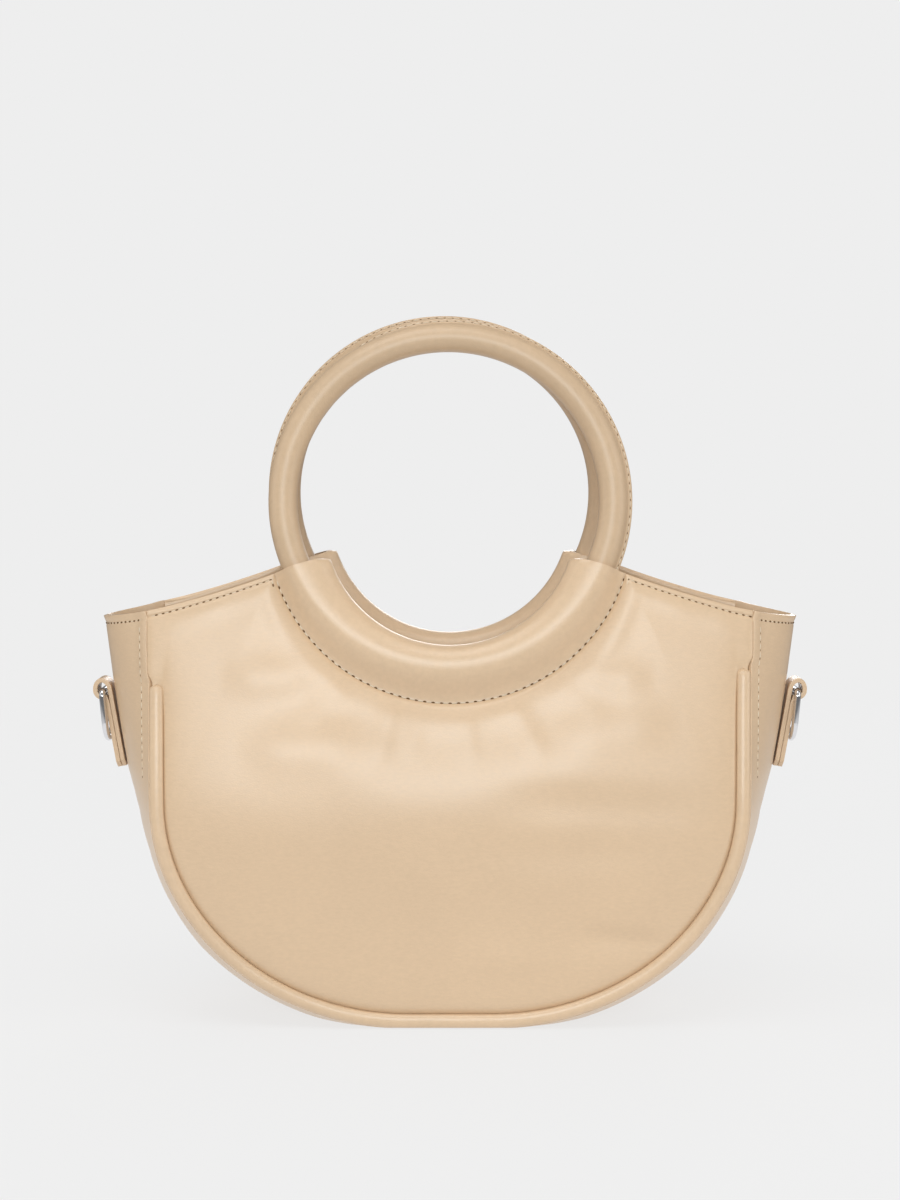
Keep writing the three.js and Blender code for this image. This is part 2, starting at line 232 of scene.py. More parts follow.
def lay_spindle(name: str, steps: int, sides: int, place: Place) -> bpy.types.Object:
    """Adds a sphere and draws it out along a line, closed by its poles at both ends.

    Args:
        name: the piece's name.
        steps: how many bands of faces it has from end to end.
        sides: how many points each section has.
        place: gives the point in millimetres at a share of the way and an angle round it.

    Returns:
        The piece.
    """
    deselect_all()
    bpy.ops.mesh.primitive_uv_sphere_add(segments=sides, ring_count=steps, radius=1)
    piece = rename(bpy.context.object, name)
    for point in piece.data.vertices:
        band = round(steps * math.acos(max(-1.0, min(1.0, point.co.z))) / math.pi)
        point.co = place(band / steps, math.atan2(point.co.y, point.co.x)) * MM
    face_outwards(piece)
    return piece


def join_copies(name: str, model: bpy.types.Object, places: Sequence[Matrix]) -> bpy.types.Object:
    """Copies one small model to many places, each copy with its own mesh, as one piece.

    Args:
        name: the joined piece's name.
        model: the model, which is removed afterwards.
        places: a matrix for each copy.

    Returns:
        The joined piece.
    """
    copies = []
    for matrix in places:
        copy = model.copy()
        copy.data = model.data.copy()
        copy.data.transform(matrix)
        bpy.context.scene.collection.objects.link(copy)
        copies.append(copy)
    deselect_all()
    for copy in copies:
        copy.select_set(True)
    bpy.context.view_layer.objects.active = copies[0]
    bpy.ops.object.join()
    bpy.data.objects.remove(model)
    return rename(bpy.context.object, name)


def hand_over(piece: bpy.types.Object, body: str, slot: str, *nodes: str) -> None:
    """Puts a finished piece on its body and reports it.

    Args:
        piece: the finished piece.
        body: the body that it rides on.
        slot: the record's material slot, or nothing for thread; not used.
        nodes: the nodes of the frame that it stands for.
    """
    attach(piece, body)
    if nodes:
        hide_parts(*nodes)
    LOG.info("%s: %d faces on %s", piece.name, len(piece.data.polygons), body)


# The bag's form, in millimetres

HEM_CELLS = 5
ARC_CELLS = 24
CELLS = 2 * HEM_CELLS + ARC_CELLS


@dataclass(frozen=True)
class SoftFold:
    """A soft dent or swelling: shares of half the mouth's width and of its height."""

    across: float
    up: float
    wide: float
    tall: float
    rise: float


@dataclass(frozen=True)
class Crease:
    """A fold along a straight line on a wall: its ends, its width and how far it stands out."""

    start: Flat
    end: Flat
    width: float
    rise: float

    def height_at(self, x: float, z: float) -> float:
        """Returns how far the crease lifts the wall at a point."""
        (ax, az), (bx, bz) = self.start, self.end
        length = math.hypot(bx - ax, bz - az)
        ux, uz = (bx - ax) / length, (bz - az) / length
        along = ((x - ax) * ux + (z - az) * uz) / length
        off = ((x - ax) * uz - (z - az) * ux) / self.width
        if abs(off) > 3 or not -0.6 < along < 1.6:
            return 0.0
        fade = smooth_share(along, -0.25, 0.3) * (1 - smooth_share(along, 0.7, 1.25))
        return self.rise * fade * math.exp(-off * off)


@dataclass(frozen=True)
class Side:
    """How the front or the back half stands, in millimetres and degrees."""

    name: str
    outward: int
    lean_degrees: float
    ring_depth: float
    ring_rise: float
    ring_shift: float
    upright_to: float
    folds: Tuple[SoftFold, ...]
    creases: Tuple[Crease, ...]

    @property
    def lean(self) -> float:
        """The lean in radians."""
        return math.radians(self.lean_degrees)


@dataclass(frozen=True)
class BagForm:
    """The sizes of the part's source and the curves that follow from them."""

    wall: float = 2
    gap: float = 0.3
    seam_width: float = 224
    mouth_width: float = 227
    mouth_height: float = 156
    corner_radius: float = 86
    corner_width: float = 96
    base_depth: float = 76
    panel_puff: float = 4
    hem_sag: float = 1.5
    side_reach: float = 20.3
    rim_sag: float = 3.3
    fold_sharpness: float = 1.8
    piping_width: float = 5.3
    piping_thickness: float = 4
    piping_proud: float = 0.8
    piping_top_left: float = 129
    piping_top_right: float = 135
    ring_diameter: float = 125.4
    tube_diameter: float = 11
    flange_height: float = 1.7
    collar_leather: float = 1.45
    collar_band: float = 21.9
    seam_play: float = 0.03
    collar_drop: float = 8
    collar_end_angle: float = 17
    gusset_reach: Tuple[Flat, ...] = (
        (0, 0.48),
        (0.2, 0.5),
        (0.28, 0.45),
        (0.42, 0.39),
        (0.51, 0.44),
        (0.61, 0.64),
        (0.71, 0.76),
        (0.81, 0.86),
        (1, 1),
    )

    @property
    def tube_radius(self) -> float:
        """The radius of a ring's tube."""
        return self.tube_diameter / 2

    @property
    def ring_radius(self) -> float:
        """The radius of a ring, to the middle of its tube."""
        return self.ring_diameter / 2

    @property
    def cover_radius(self) -> float:
        """The radius of the collar's leather round the tube."""
        return self.tube_radius + self.gap + self.collar_leather

    @property
    def collar_inner(self) -> float:
        """The radius of a collar's round edge."""
        return self.ring_radius - self.collar_drop - self.cover_radius

    @property
    def collar_outer(self) -> float:
        """The radius of a collar's sewn edge."""
        return self.collar_inner + self.collar_band

    def ring_height(self, side: Side) -> float:
        """The height of a ring's centre."""
        return self.mouth_height + side.ring_rise

    def seam_half_width(self, height: float) -> float:
        """Half the width of the seam outline on its nearly upright sides."""
        share = (height - self.corner_radius) / (self.mouth_height - self.corner_radius)
        return mix(self.seam_width, self.mouth_width, share) / 2

    def collar_foot(self, side: Side) -> float:
        """The height of the lowest point of a collar's sewn edge."""
        return self.ring_height(side) - (self.collar_drop + self.collar_outer) * math.cos(side.lean)

    def wall_depth(self, side: Side, height: float) -> float:
        """How far the middle of a wall lies from the bag's middle, at a height."""
        plane = side.ring_depth + (self.ring_height(side) - height) * math.tan(side.lean)
        blend = smooth_share(height, side.upright_to, self.collar_foot(side))
        return mix(self.base_depth / 2, plane, blend)

    def collar_point(self, side: Side, angle: float, radius: float) -> Flat:
        """A point of the collar's plane seen from the front, at an angle and radius."""
        rise = (radius * math.sin(angle) - self.collar_drop) * math.cos(side.lean)
        return radius * math.cos(angle), self.ring_height(side) + rise

    def panel_top(self, side: Side, cell: float) -> Flat:
        """The panel's upper edge: hem, sewn edge of the collar, hem.

        Args:
            side: the front or the back.
            cell: from 0 at the left corner of the mouth to CELLS at the right one.

        Returns:
            The point seen from the front.
        """
        edge = self.collar_outer + self.seam_play
        start = math.radians(self.collar_end_angle)
        if HEM_CELLS < cell < CELLS - HEM_CELLS:
            angle = mix(start - math.pi, -start, (cell - HEM_CELLS) / ARC_CELLS)
            return self.collar_point(side, angle, edge)
        left = cell <= HEM_CELLS
        share = cell / HEM_CELLS if left else (CELLS - cell) / HEM_CELLS
        end_x, end_z = self.collar_point(side, -start, edge)
        corner_x, corner_z = self.seam_half_width(self.mouth_height), self.mouth_height
        bend_x, bend_z = (corner_x + end_x) / 2, (corner_z + end_z) / 2 - self.hem_sag
        a, b, c = (1 - share) ** 2, 2 * share * (1 - share), share * share
        x = a * corner_x + b * bend_x + c * end_x
        z = a * corner_z + b * bend_z + c * end_z
        return (-x if left else x), z

    def gusset_reach_at(self, height: float) -> float:
        """How far the gusset's fold stands out of the seams at a height."""
        return self.side_reach * read_table(self.gusset_reach, height / self.mouth_height)


FORM = BagForm()
FRONT = Side(
    name="front",
    outward=-1,
    lean_degrees=11.2,
    ring_depth=15,
    ring_rise=41.6,
    ring_shift=-0.7,
    upright_to=40,
    folds=(
        SoftFold(-0.33, 0.66, 0.2, 0.1, 0.3),
        SoftFold(0.38, 0.64, 0.22, 0.09, 0.3),
        SoftFold(0.45, 0.43, 0.3, 0.05, -0.25),
        SoftFold(0.5, 0.18, 0.22, 0.07, -0.3),
        SoftFold(-0.55, 0.35, 0.25, 0.16, 0.15),
    ),
    creases=(
        Crease((-80, 131), (-52, 133), 7.5, 0.95),
        Crease((-72, 105), (-38, 108), 9, 0.9),
        Crease((50, 132), (72, 131), 6.5, 0.8),
        Crease((44, 112), (78, 115), 9, 1.0),
        Crease((-21, 124), (-27, 100), 4.2, 0.42),
        Crease((-9, 124), (-15, 104), 3.4, 0.3),
        Crease((5, 124), (8, 100), 4.0, 0.4),
        Crease((22, 124), (34, 103), 4.6, 0.5),
        Crease((-40, 128), (-56, 116), 4.6, 0.3),
        Crease((42, 128), (56, 118), 4.6, 0.3),
        Crease((24, 86), (92, 82), 8.5, -0.95),
        Crease((50, 36), (80, 32), 4.2, -1.0),
        Crease((10, 27), (64, 25), 7, 0.55),
        Crease((-80, 62), (-20, 54), 14, -0.5),
        Crease((-30, 84), (28, 92), 13, 0.5),
    ),
)
BACK = Side(
    name="back",
    outward=1,
    lean_degrees=1.5,
    ring_depth=24.3,
    ring_rise=42.8,
    ring_shift=-2.2,
    upright_to=30,
    folds=(SoftFold(0, 0.6, 0.35, 0.1, 0.25), SoftFold(-0.45, 0.3, 0.25, 0.08, -0.25)),
    creases=(
        Crease((-60, 120), (-30, 112), 6, 0.85),
        Crease((34, 118), (66, 124), 6, 0.85),
        Crease((-12, 121), (-17, 103), 2.6, 0.42),
        Crease((8, 121), (11, 101), 2.4, 0.42),
        Crease((-70, 74), (-14, 79), 4.5, -0.85),
        Crease((28, 44), (70, 38), 3.6, -1.02),
    ),
)


@dataclass(frozen=True)
class SeamLine:
    """The seam outline moved inwards, from its left top down, along the base and up again."""

    inset: float
    left_top: float
    right_top: float

    @property
    def spans(self) -> Tuple[float, ...]:
        """The lengths of its left side, left corner, base, right corner and right side."""
        tall, wide = self.corner
        left, right = (
            math.hypot(FORM.seam_half_width(top) - FORM.seam_width / 2, top - FORM.corner_radius)
            for top in (self.left_top, self.right_top)
        )
        bend = math.pi / 4 * (3 * (tall + wide) - math.sqrt((3 * tall + wide) * (tall + 3 * wide)))
        return left, bend, FORM.seam_width - 2 * FORM.corner_width, bend, right

    @property
    def corner(self) -> Flat:
        """The height and the width of its round corners."""
        return FORM.corner_radius - self.inset, FORM.corner_width - self.inset

    def round_corner(self, turn: float, angle: float) -> Tuple[float, float, float, float]:
        """A point of a round corner about its middle at x = turn, and the way out of it."""
        tall, wide = self.corner
        c, s = math.cos(angle), math.sin(angle)
        size = math.hypot(tall * c, wide * s)
        return turn + wide * c, FORM.corner_radius + tall * s, tall * c / size, wide * s / size

    @property
    def length(self) -> float:
        """Its whole length."""
        return sum(self.spans)

    def at(self, distance: float) -> Tuple[float, float, float, float]:
        """A point of the outline and the direction out of it.

        Args:
            distance: how far along the line, from its left top.

        Returns:
            x, z and the two parts of the outward direction.
        """
        left, corner, base, _, right = self.spans
        tall, wide = self.corner
        turn = FORM.seam_width / 2 - FORM.corner_width
        if distance < left:
            share = distance / left
            x0, z0 = self.inset - FORM.seam_half_width(self.left_top), self.left_top
            x1, z1 = -turn - wide, FORM.corner_radius
            return mix(x0, x1, share), mix(z0, z1, share), (z1 - z0) / left, -(x1 - x0) / left
        distance -= left
        if distance < corner:
            return self.round_corner(-turn, math.pi * (1 + distance / corner / 2))
        distance -= corner
        if distance < base:
            return -turn + distance, FORM.corner_radius - tall, 0, -1
        distance -= base
        if distance < corner:
            return self.round_corner(turn, math.pi * (1.5 + distance / corner / 2))
        share = (distance - corner) / right
        x0, z0 = turn + wide, FORM.corner_radius
        x1, z1 = FORM.seam_half_width(self.right_top) - self.inset, self.right_top
        return mix(x0, x1, share), mix(z0, z1, share), (z1 - z0) / right, -(x1 - x0) / right


# Finishes


class Grain(Enum):
    """How the leather's surface is worked."""

    PANEL = "panel"
    ROLLED = "rolled"
    STRAP = "strap"


class Sheet:
    """The node tree of a material or a world, with short calls for adding nodes to it."""

    def __init__(self, owner: bpy.types.Material | bpy.types.World, output: str) -> None:
        """Empties the tree of a material or a world and gives it an output."""
        owner.use_nodes = True
        self.owner = owner
        self.tree = owner.node_tree
        self.tree.nodes.clear()
        self.output = self.add(output)

    @classmethod
    def of_material(cls, name: str) -> "Sheet":
        """Starts a new material."""
        return cls(bpy.data.materials.new(name), "OutputMaterial")

    def add(
        self, kind: str, settings: Dict[str, object] | None = None, **values: object
    ) -> bpy.types.Node:
        """Adds a node.

        Args:
            kind: the node's type, after "ShaderNode".
            settings: its own settings by name.
            values: its sockets by name, each a value or another node's socket.

        Returns:
            The node.
        """
        node = self.tree.nodes.new("ShaderNode" + kind)
        for name, value in (settings or {}).items():
            setattr(node, name, value)
        for name, value in values.items():
            key = int(name[1:]) if name[0] == "_" else name.replace("_", " ")
            socket = node.inputs[key]
            if isinstance(value, bpy.types.NodeSocket):
                self.tree.links.new(value, socket)
            else:
                socket.default_value = value
        return node

    def where(self) -> bpy.types.NodeSocket:
        """Returns the object's own coordinates."""
        return self.add("TexCoord").outputs["Object"]

    def shades(
        self, share: bpy.types.NodeSocket, colour: Colour, low: float, high: float
    ) -> bpy.types.NodeSocket:
        """Mixes two shades of a colour.

        Args:
            share: from the darker shade to the lighter one.
            colour: the colour.
            low: the level of the darker shade.
            high: the level of the lighter shade.

        Returns:
            The mixed colour.
        """
        dark, light = (tuple(min(1.0, level * c) for c in colour) + (1,) for level in (low, high))
        return self.add("Mix", {"data_type": "RGBA"}, _0=share, _6=dark, _7=light).outputs[2]

    def skin(
        self, relief: bpy.types.NodeSocket, strength: float, depth: float, **values: object
    ) -> bpy.types.Material:
        """Adds the shader of a surface with a fine relief.

        Args:
            relief: its height.
            strength: how much of it shows.
            depth: its depth in metres.
            values: the shader's sockets by name.

        Returns:
            The finished material.
        """
        bump = self.add("Bump", Strength=strength, Distance=depth, Height=relief)
        return self.finish(self.add("BsdfPrincipled", Normal=bump.outputs[0], **values))

    def finish(self, shader: bpy.types.Node) -> bpy.types.Material | bpy.types.World:
        """Links the shader to the output and returns the material or the world."""
        self.tree.links.new(shader.outputs[0], self.output.inputs["Surface"])
        return self.owner


@dataclass(frozen=True)
class Leather:
    """Smooth finished cow leather with a fine pressed grain."""

    name: str
    colour: Colour = (0.668, 0.474, 0.297)
    roughness: float = 0.38
    sheen_weight: float = 0.6
    sheen_roughness: float = 0.36
    grain: Grain = Grain.PANEL
    grain_depth: float = 0.00006
    mottle: float = 0.025
    cloud_scale: float = 14
    grain_scale: float = 420
    pore_scale: float = 1500
    grain_stretch: float = 2.6
    fleck: Flat = (0.955, 1.03)

    def make(self) -> bpy.types.Material:
        """Returns the material."""
        sheet = Sheet.of_material(self.name)
        where = sheet.where()
        stretch = (1, 1, self.grain_stretch if self.grain is Grain.PANEL else 1)
        laid = sheet.add("Mapping", Vector=where, Scale=stretch).outputs[0]
        cloud = sheet.add(
            "TexNoise", Vector=where, Scale=self.cloud_scale, Detail=4.0, Roughness=0.55
        )
        fine = sheet.add(
            "TexNoise", Vector=laid, Scale=self.grain_scale, Detail=6.0, Roughness=0.62
        ).outputs["Fac"]
        smooth = {"feature": "SMOOTH_F1"}
        pores = sheet.add(
            "TexVoronoi", smooth, Vector=laid, Scale=self.pore_scale, Smoothness=0.7
        )
        share = sheet.add("MapRange", Value=cloud.outputs["Fac"], From_Min=0.3, From_Max=0.7)
        tone = sheet.shades(share.outputs[0], self.colour, 1 - 1.5 * self.mottle, 1 + self.mottle)
        low, high = self.fleck
        fleck = sheet.add(
            "MapRange", Value=fine, From_Min=0.35, From_Max=0.75, To_Min=low, To_Max=high
        )
        base = sheet.add("VectorMath", {"operation": "SCALE"}, Vector=tone, Scale=fleck.outputs[0])
        low, high = self.roughness - 0.04, self.roughness + 0.05
        rough = sheet.add(
            "MapRange", Value=fine, From_Min=0.3, From_Max=0.7, To_Min=low, To_Max=high
        )
        height = sheet.add(
            "Math", {"operation": "MULTIPLY_ADD"}, _0=fine, _1=0.8, _2=pores.outputs["Distance"]
        )
        return sheet.skin(
            height.outputs[0],
            0.55,
            self.grain_depth,
            Base_Color=base.outputs[0],
            Roughness=rough.outputs[0],
            Specular_IOR_Level=0.6,
            Coat_Weight=self.sheen_weight,
            Coat_Roughness=self.sheen_roughness,
        )


@dataclass(frozen=True)
class EdgePaint:
    """The rounded paint on a strap's cut edges."""

    name: str
    colour: Colour = (0.62, 0.43, 0.26)

    def make(self) -> bpy.types.Material:
        """Returns the material."""
        sheet = Sheet.of_material(self.name)
        drift = sheet.add("TexNoise", Vector=sheet.where(), Scale=700.0, Detail=3.0).outputs["Fac"]
        base = sheet.shades(drift, self.colour, 0.92, 1.06)
        return sheet.skin(drift, 0.3, 0.00005, Base_Color=base, Roughness=0.5)


@dataclass(frozen=True)
class Thread:
    """Twisted polyester thread."""

    name: str
    colour: Colour = (0.84, 0.72, 0.55)

    def make(self) -> bpy.types.Material:
        """Returns the material."""
        sheet = Sheet.of_material(self.name)
        waves = sheet.add(
            "TexWave", {"wave_type": "BANDS"}, Vector=sheet.where(), Scale=900.0, Distortion=1.5
        )
        twist = waves.outputs["Fac"]
        base = sheet.shades(twist, self.colour, 0.72, 1)
        return sheet.skin(twist, 0.5, 0.00008, Base_Color=base, Roughness=0.55)


@dataclass(frozen=True)
class NeedleHoleShade:
    """Painted shade: the dark inside a hole where thread goes through leather, on beads that stand
    where there is only shade.
    """

    name: str
    colour: Colour = (0.15, 0.085, 0.04)

    def make(self) -> bpy.types.Material:
        """Returns the material."""
        sheet = Sheet.of_material(self.name)
        # painted shade: the beads' dark varies at random between 0.6 and 1.5 times its colour
        shade_noise = sheet.add("TexNoise", Vector=sheet.where(), Scale=1500.0, Detail=2.0).outputs["Fac"]
        base = sheet.shades(shade_noise, self.colour, 0.6, 1.5)
        return sheet.finish(
            sheet.add("BsdfPrincipled", Base_Color=base, Roughness=0.9, Specular_IOR_Level=0.1)
        )


@dataclass(frozen=True)
class Chrome:
    """Polished plated wire with faint wear."""

    name: str
    colour: Colour = (0.83, 0.83, 0.85)

    def make(self) -> bpy.types.Material:
        """Returns the material."""
        sheet = Sheet.of_material(self.name)
        noise = sheet.add("TexNoise", Vector=sheet.where(), Scale=600.0, Detail=5.0, Roughness=0.7)
        wear = noise.outputs["Fac"]
        rough = sheet.add(
            "MapRange", Value=wear, From_Min=0.35, From_Max=0.8, To_Min=0.05, To_Max=0.16
        ).outputs[0]
        tone = sheet.shades(wear, self.colour, 0.93, 1)
        return sheet.skin(wear, 0.08, 0.00004, Base_Color=tone, Metallic=1.0, Roughness=rough)


@dataclass
class Finishes:
    """Every finish of the bag, made once."""

    body: bpy.types.Material = field(default_factory=lambda: Leather("body_leather").make())
    collar: bpy.types.Material = field(
        default_factory=lambda: Leather("collar_leather", grain=Grain.ROLLED, roughness=0.4).make()
    )
    handle: bpy.types.Material = field(
        default_factory=lambda: Leather(
            "handle_leather", (0.575, 0.405, 0.25), 0.42, 0.35, 0.45, Grain.ROLLED, mottle=0.04
        ).make()
    )
    piping: bpy.types.Material = field(
        default_factory=lambda: Leather(
            "piping_leather", grain=Grain.ROLLED, roughness=0.4, mottle=0.04
        ).make()
    )
    tab: bpy.types.Material = field(
        default_factory=lambda: Leather("tab_leather", grain=Grain.STRAP, roughness=0.42).make()
    )
    edge: bpy.types.Material = field(default_factory=lambda: EdgePaint("edge_paint").make())
    thread: bpy.types.Material = field(default_factory=lambda: Thread("cream_thread").make())
    # painted shade for the needle holes: a dark finish for the beads set between stitches
    hole_shade: bpy.types.Material = field(default_factory=lambda: NeedleHoleShade("needle_hole").make())
    chrome: bpy.types.Material = field(default_factory=lambda: Chrome("chrome").make())


# The bag's pieces


@dataclass
class WallPanel:
    """The front or back wall of leather, with its hem and its soft folds."""

    side: Side
    columns: int = 272
    rows: int = 112
    edge_rows: float = 0.72
    hem_line: float = 2.4
    groove_width: float = 0.6
    groove_depth: float = 0.55
    seam_dive: float = 1.1
    dive_width: float = 2.2
    stitch_dive: float = 0.6
    stitch_width: float = 1.0
    hem_stop: Flat = (4.9, 5.35)
    arc_start: Flat = (5.0, 5.4)
    bulge: float = 0.75
    bulge_at: float = 6.5
    bulge_width: float = 5.5
    bulge_mean: float = 0.72
    bulge_waves: Tuple[Wave, ...] = ((0.2, 0.11, 0.9), (0.14, 0.29, 2.2))
    pucker_width: float = 3
    pucker_fade: float = 1.6
    crease_fade: float = 7
    side_tuck: float = 0.6
    tip_play: float = 1.2
    tuck: float = 0.5
    fill: float = 0.35

    def foot(self, cell: float) -> Flat:
        """The panel's lower edge along the piping, and over the piping's round ends."""
        end = FORM.piping_width / 2
        reach = end - self.tuck
        left, right = FORM.piping_top_left - end, FORM.piping_top_right - end
        if 1 <= cell <= CELLS - 1:
            line = SeamLine(FORM.piping_width - self.tuck, left, right)
            x, z, _, _ = line.at(line.length * (cell - 1) / (CELLS - 2))
            return x, z
        low = left if cell < 1 else right
        share = cell if cell < 1 else CELLS - cell
        start = math.acos(-(end - self.tip_play) / reach)
        angle = mix(start, 0, share)
        x = FORM.seam_half_width(low) - end - reach * math.cos(angle)
        return (-x if cell < 1 else x), low + reach * math.sin(angle)

    def puff(self, u: float, v: float, x: float, z: float) -> float:
        """How far the wall stands out of its seams at a share across and up."""
        crown = math.sqrt(max(0.0, math.sin(math.pi * u) * math.sin(math.pi * v)))
        folds = 1.0
        for fold in self.side.folds:
            across = (x - fold.across * FORM.mouth_width / 2) / (fold.wide * FORM.mouth_width / 2)
            up = (z - fold.up * FORM.mouth_height) / (fold.tall * FORM.mouth_height)
            folds += fold.rise * math.exp(-across * across - up * up)
        return FORM.panel_puff * crown * folds

    def pulled_in(self, cell: float, below: float) -> float:
        """How deep the row of stitches pulls the leather in, below the panel's upper edge."""
        from_end = min(cell, CELLS - cell)
        hem = 1 - smooth_share(from_end, *self.hem_stop)
        off = (below - self.hem_line) / self.groove_width
        groove = hem * self.groove_depth * math.exp(-off * off)
        arc = smooth_share(from_end, *self.arc_start)
        return groove + arc * self.stitch_dive * math.exp(-((below / self.stitch_width) ** 2))

    def surface(self, u: float, v: float) -> Vector:
        """A point of the outer face at a share across and a share up."""
        cell = u * CELLS
        foot_x, foot_z = self.foot(cell)
        top_x, top_z = FORM.panel_top(self.side, cell)
        x, z = mix(foot_x, top_x, v), mix(foot_z, top_z, v)
        height = math.hypot(top_x - foot_x, top_z - foot_z)
        below, above = (1 - v) * height, v * height
        spread = (self.tip_play * (1 - v) + self.side_tuck) * smooth_share(above, 1.0, 6.0)
        x += math.copysign(spread * (1 - smooth_share(min(cell, CELLS - cell), 0, 1)), top_x)
        from_side = min(u, 1 - u)
        depth = FORM.wall_depth(self.side, z) + self.puff(u, v, x, z) + FORM.wall / 2
        from_edge = min(below, above)
        fade = smooth_share(from_edge, 0, self.crease_fade) * smooth_share(from_side, 0, 0.05)
        pucker = smooth_share(from_edge, 0, self.pucker_fade)
        for crease in self.side.creases:
            narrow = crease.width < self.pucker_width
            depth += crease.height_at(x, z) * (pucker if narrow else fade)
        under = math.exp(-(((below - self.bulge_at) / self.bulge_width) ** 2))
        uneven = wavy(self.bulge_mean, x, self.bulge_waves)
        depth += self.bulge * under * uneven * smooth_share(from_side, 0, 0.07)
        depth -= self.pulled_in(cell, below)
        beside = smooth_share(min(cell, CELLS - cell), 0.9, 2.0)
        depth -= self.seam_dive * beside * math.exp(-((above / self.dive_width) ** 2))
        return Vector((x, self.side.outward * depth, z))

    def outer(self, u: float, t: float) -> Vector:
        """A point of the outer face at a share across and a share of the rows up."""
        return self.surface(u, mix(t, (1 - math.cos(math.pi * t)) / 2, self.edge_rows))

    def build(self, finishes: Finishes) -> bpy.types.Object:
        """Makes the wall, gives it thickness and dresses it."""
        piece = lay_grid(f"{self.side.name}_panel_leather", self.columns, self.rows, self.outer)
        if self.side.outward > 0:
            turn_inside_out(piece)
        apply_modifier(piece, "SOLIDIFY", thickness=FORM.wall * MM, offset=-1.0, use_rim=True)
        dress(piece, 60, finishes.body)
        hand_over(piece, "bag", "body_leather", f"{self.side.name}_panel")
        return piece


@dataclass
class Gusset:
    """The long strip between the seams, folded along its middle."""

    columns: int = 320
    rows: int = 64
    lip_out: float = 1.0
    lip_proud: float = 0.2
    seam_reach: float = 2.5
    seam_out: float = 0.2
    lip_above: float = 0.3
    lip_fade: float = 4.5
    lip_waves: Tuple[Wave, ...] = ((0.25, 0.42, 1.0),)
    hem_line: float = 3.0
    groove_depth: float = 0.3
    groove_width: float = 0.5
    rim_roll: float = 0.5
    roll_width: float = 1.5

    def line(self) -> SeamLine:
        """The seam outline that it follows."""
        return SeamLine(0, FORM.mouth_height, FORM.mouth_height)

    def surface(self, u: float, t: float) -> Vector:
        """A point of its outer face: u along the outline, t from the front to the back seam."""
        across = 2 * t - 1
        away = abs(across)
        line = self.line()
        distance = u * line.length
        x, z, out_x, out_z = line.at(min(distance, line.length - 1e-6))
        height = z / FORM.mouth_height
        bow = FORM.gusset_reach_at(z) * (1 - away**FORM.fold_sharpness)
        side = FRONT if across < 0 else BACK
        hidden = FORM.piping_thickness / 2 - FORM.piping_proud + FORM.gap
        depth = away * (FORM.wall_depth(side, z) - hidden + self.seam_reach)
        dip = FORM.rim_sag * (1 - across * across) * height**4
        from_rim = min(distance, line.length - distance)
        off = (from_rim - self.hem_line) / self.groove_width
        bow -= self.groove_depth * math.exp(-off * off)
        bow += self.rim_roll * math.exp(-((from_rim / self.roll_width) ** 2))
        tip = self.lip_above + (FORM.piping_top_left if x < 0 else FORM.piping_top_right)
        lip = smooth_share(z, tip, tip + self.lip_fade)
        bow += self.lip_out * lip * smooth_share(away, 0.82, 0.98)
        proud = self.lip_proud * lip * wavy(1, z, self.lip_waves)
        depth += proud * smooth_share(away, 0.86, 1.0)
        bow += self.seam_out * (1 - lip) * smooth_share(away, 0.93, 1.0)
        return Vector((x + out_x * bow, side.outward * depth, max(0.0, z + out_z * bow - dip)))

    def build(self, finishes: Finishes) -> bpy.types.Object:
        """Makes the strip, gives it thickness and dresses it."""

        def place(u: float, t: float) -> Vector:
            return self.surface(u, mix(t, (1 - math.cos(math.pi * t)) / 2, 0.75))

        piece = lay_grid("gusset_leather", self.columns, self.rows, place)
        turn_inside_out(piece)
        apply_modifier(piece, "SOLIDIFY", thickness=FORM.wall * MM, offset=-1.0, use_rim=True)
        apply_modifier(
            piece, "BEVEL", width=0.5 * MM, segments=2, limit_method="ANGLE", angle_limit=0.9
        )
        dress(piece, 60, finishes.body)
        hand_over(piece, "bag", "body_leather", "gusset")
        return piece


@dataclass
class Piping:
    """The flat leather welt in one seam, with round ends."""

    side: Side
    steps: int = 240
    sides: int = 20
    ease: float = 0.12
    waver: float = 0.048
    end_power: float = 2.3

    def point(self, share: float, angle: float) -> Vector:
        """A point of its skin at a share of its length and an angle round it."""
        line = SeamLine(FORM.piping_width / 2, FORM.piping_top_left, FORM.piping_top_right)
        end = FORM.piping_width / 2
        eased = mix(share, (1 - math.cos(math.pi * share)) / 2, self.ease)
        station = min(line.length - 1e-6, max(0.0, eased * line.length))
        from_end = min(station, line.length - station, end) / end
        size = max(0.0, 1 - (1 - from_end) ** self.end_power) ** (1 / self.end_power)
        x, z, out_x, out_z = line.at(station)
        drift = 1 + self.waver * math.sin(station * 0.21) * math.sin(station * 0.047 + 1)
        wide = size * math.cos(angle) * FORM.piping_width / 2
        thick = size * math.sin(angle) * drift * FORM.piping_thickness / 2
        depth = FORM.wall_depth(self.side, z) + FORM.piping_proud + thick
        return Vector((x + out_x * wide, self.side.outward * depth, z + out_z * wide))

    def build(self, finishes: Finishes) -> bpy.types.Object:
        """Makes the welt and dresses it."""
        piece = lay_spindle(f"{self.side.name}_piping_leather", self.steps, self.sides, self.point)
        dress(piece, 80, finishes.piping)
        hand_over(piece, "bag", "piping_leather", f"{self.side.name}_piping")
        return piece


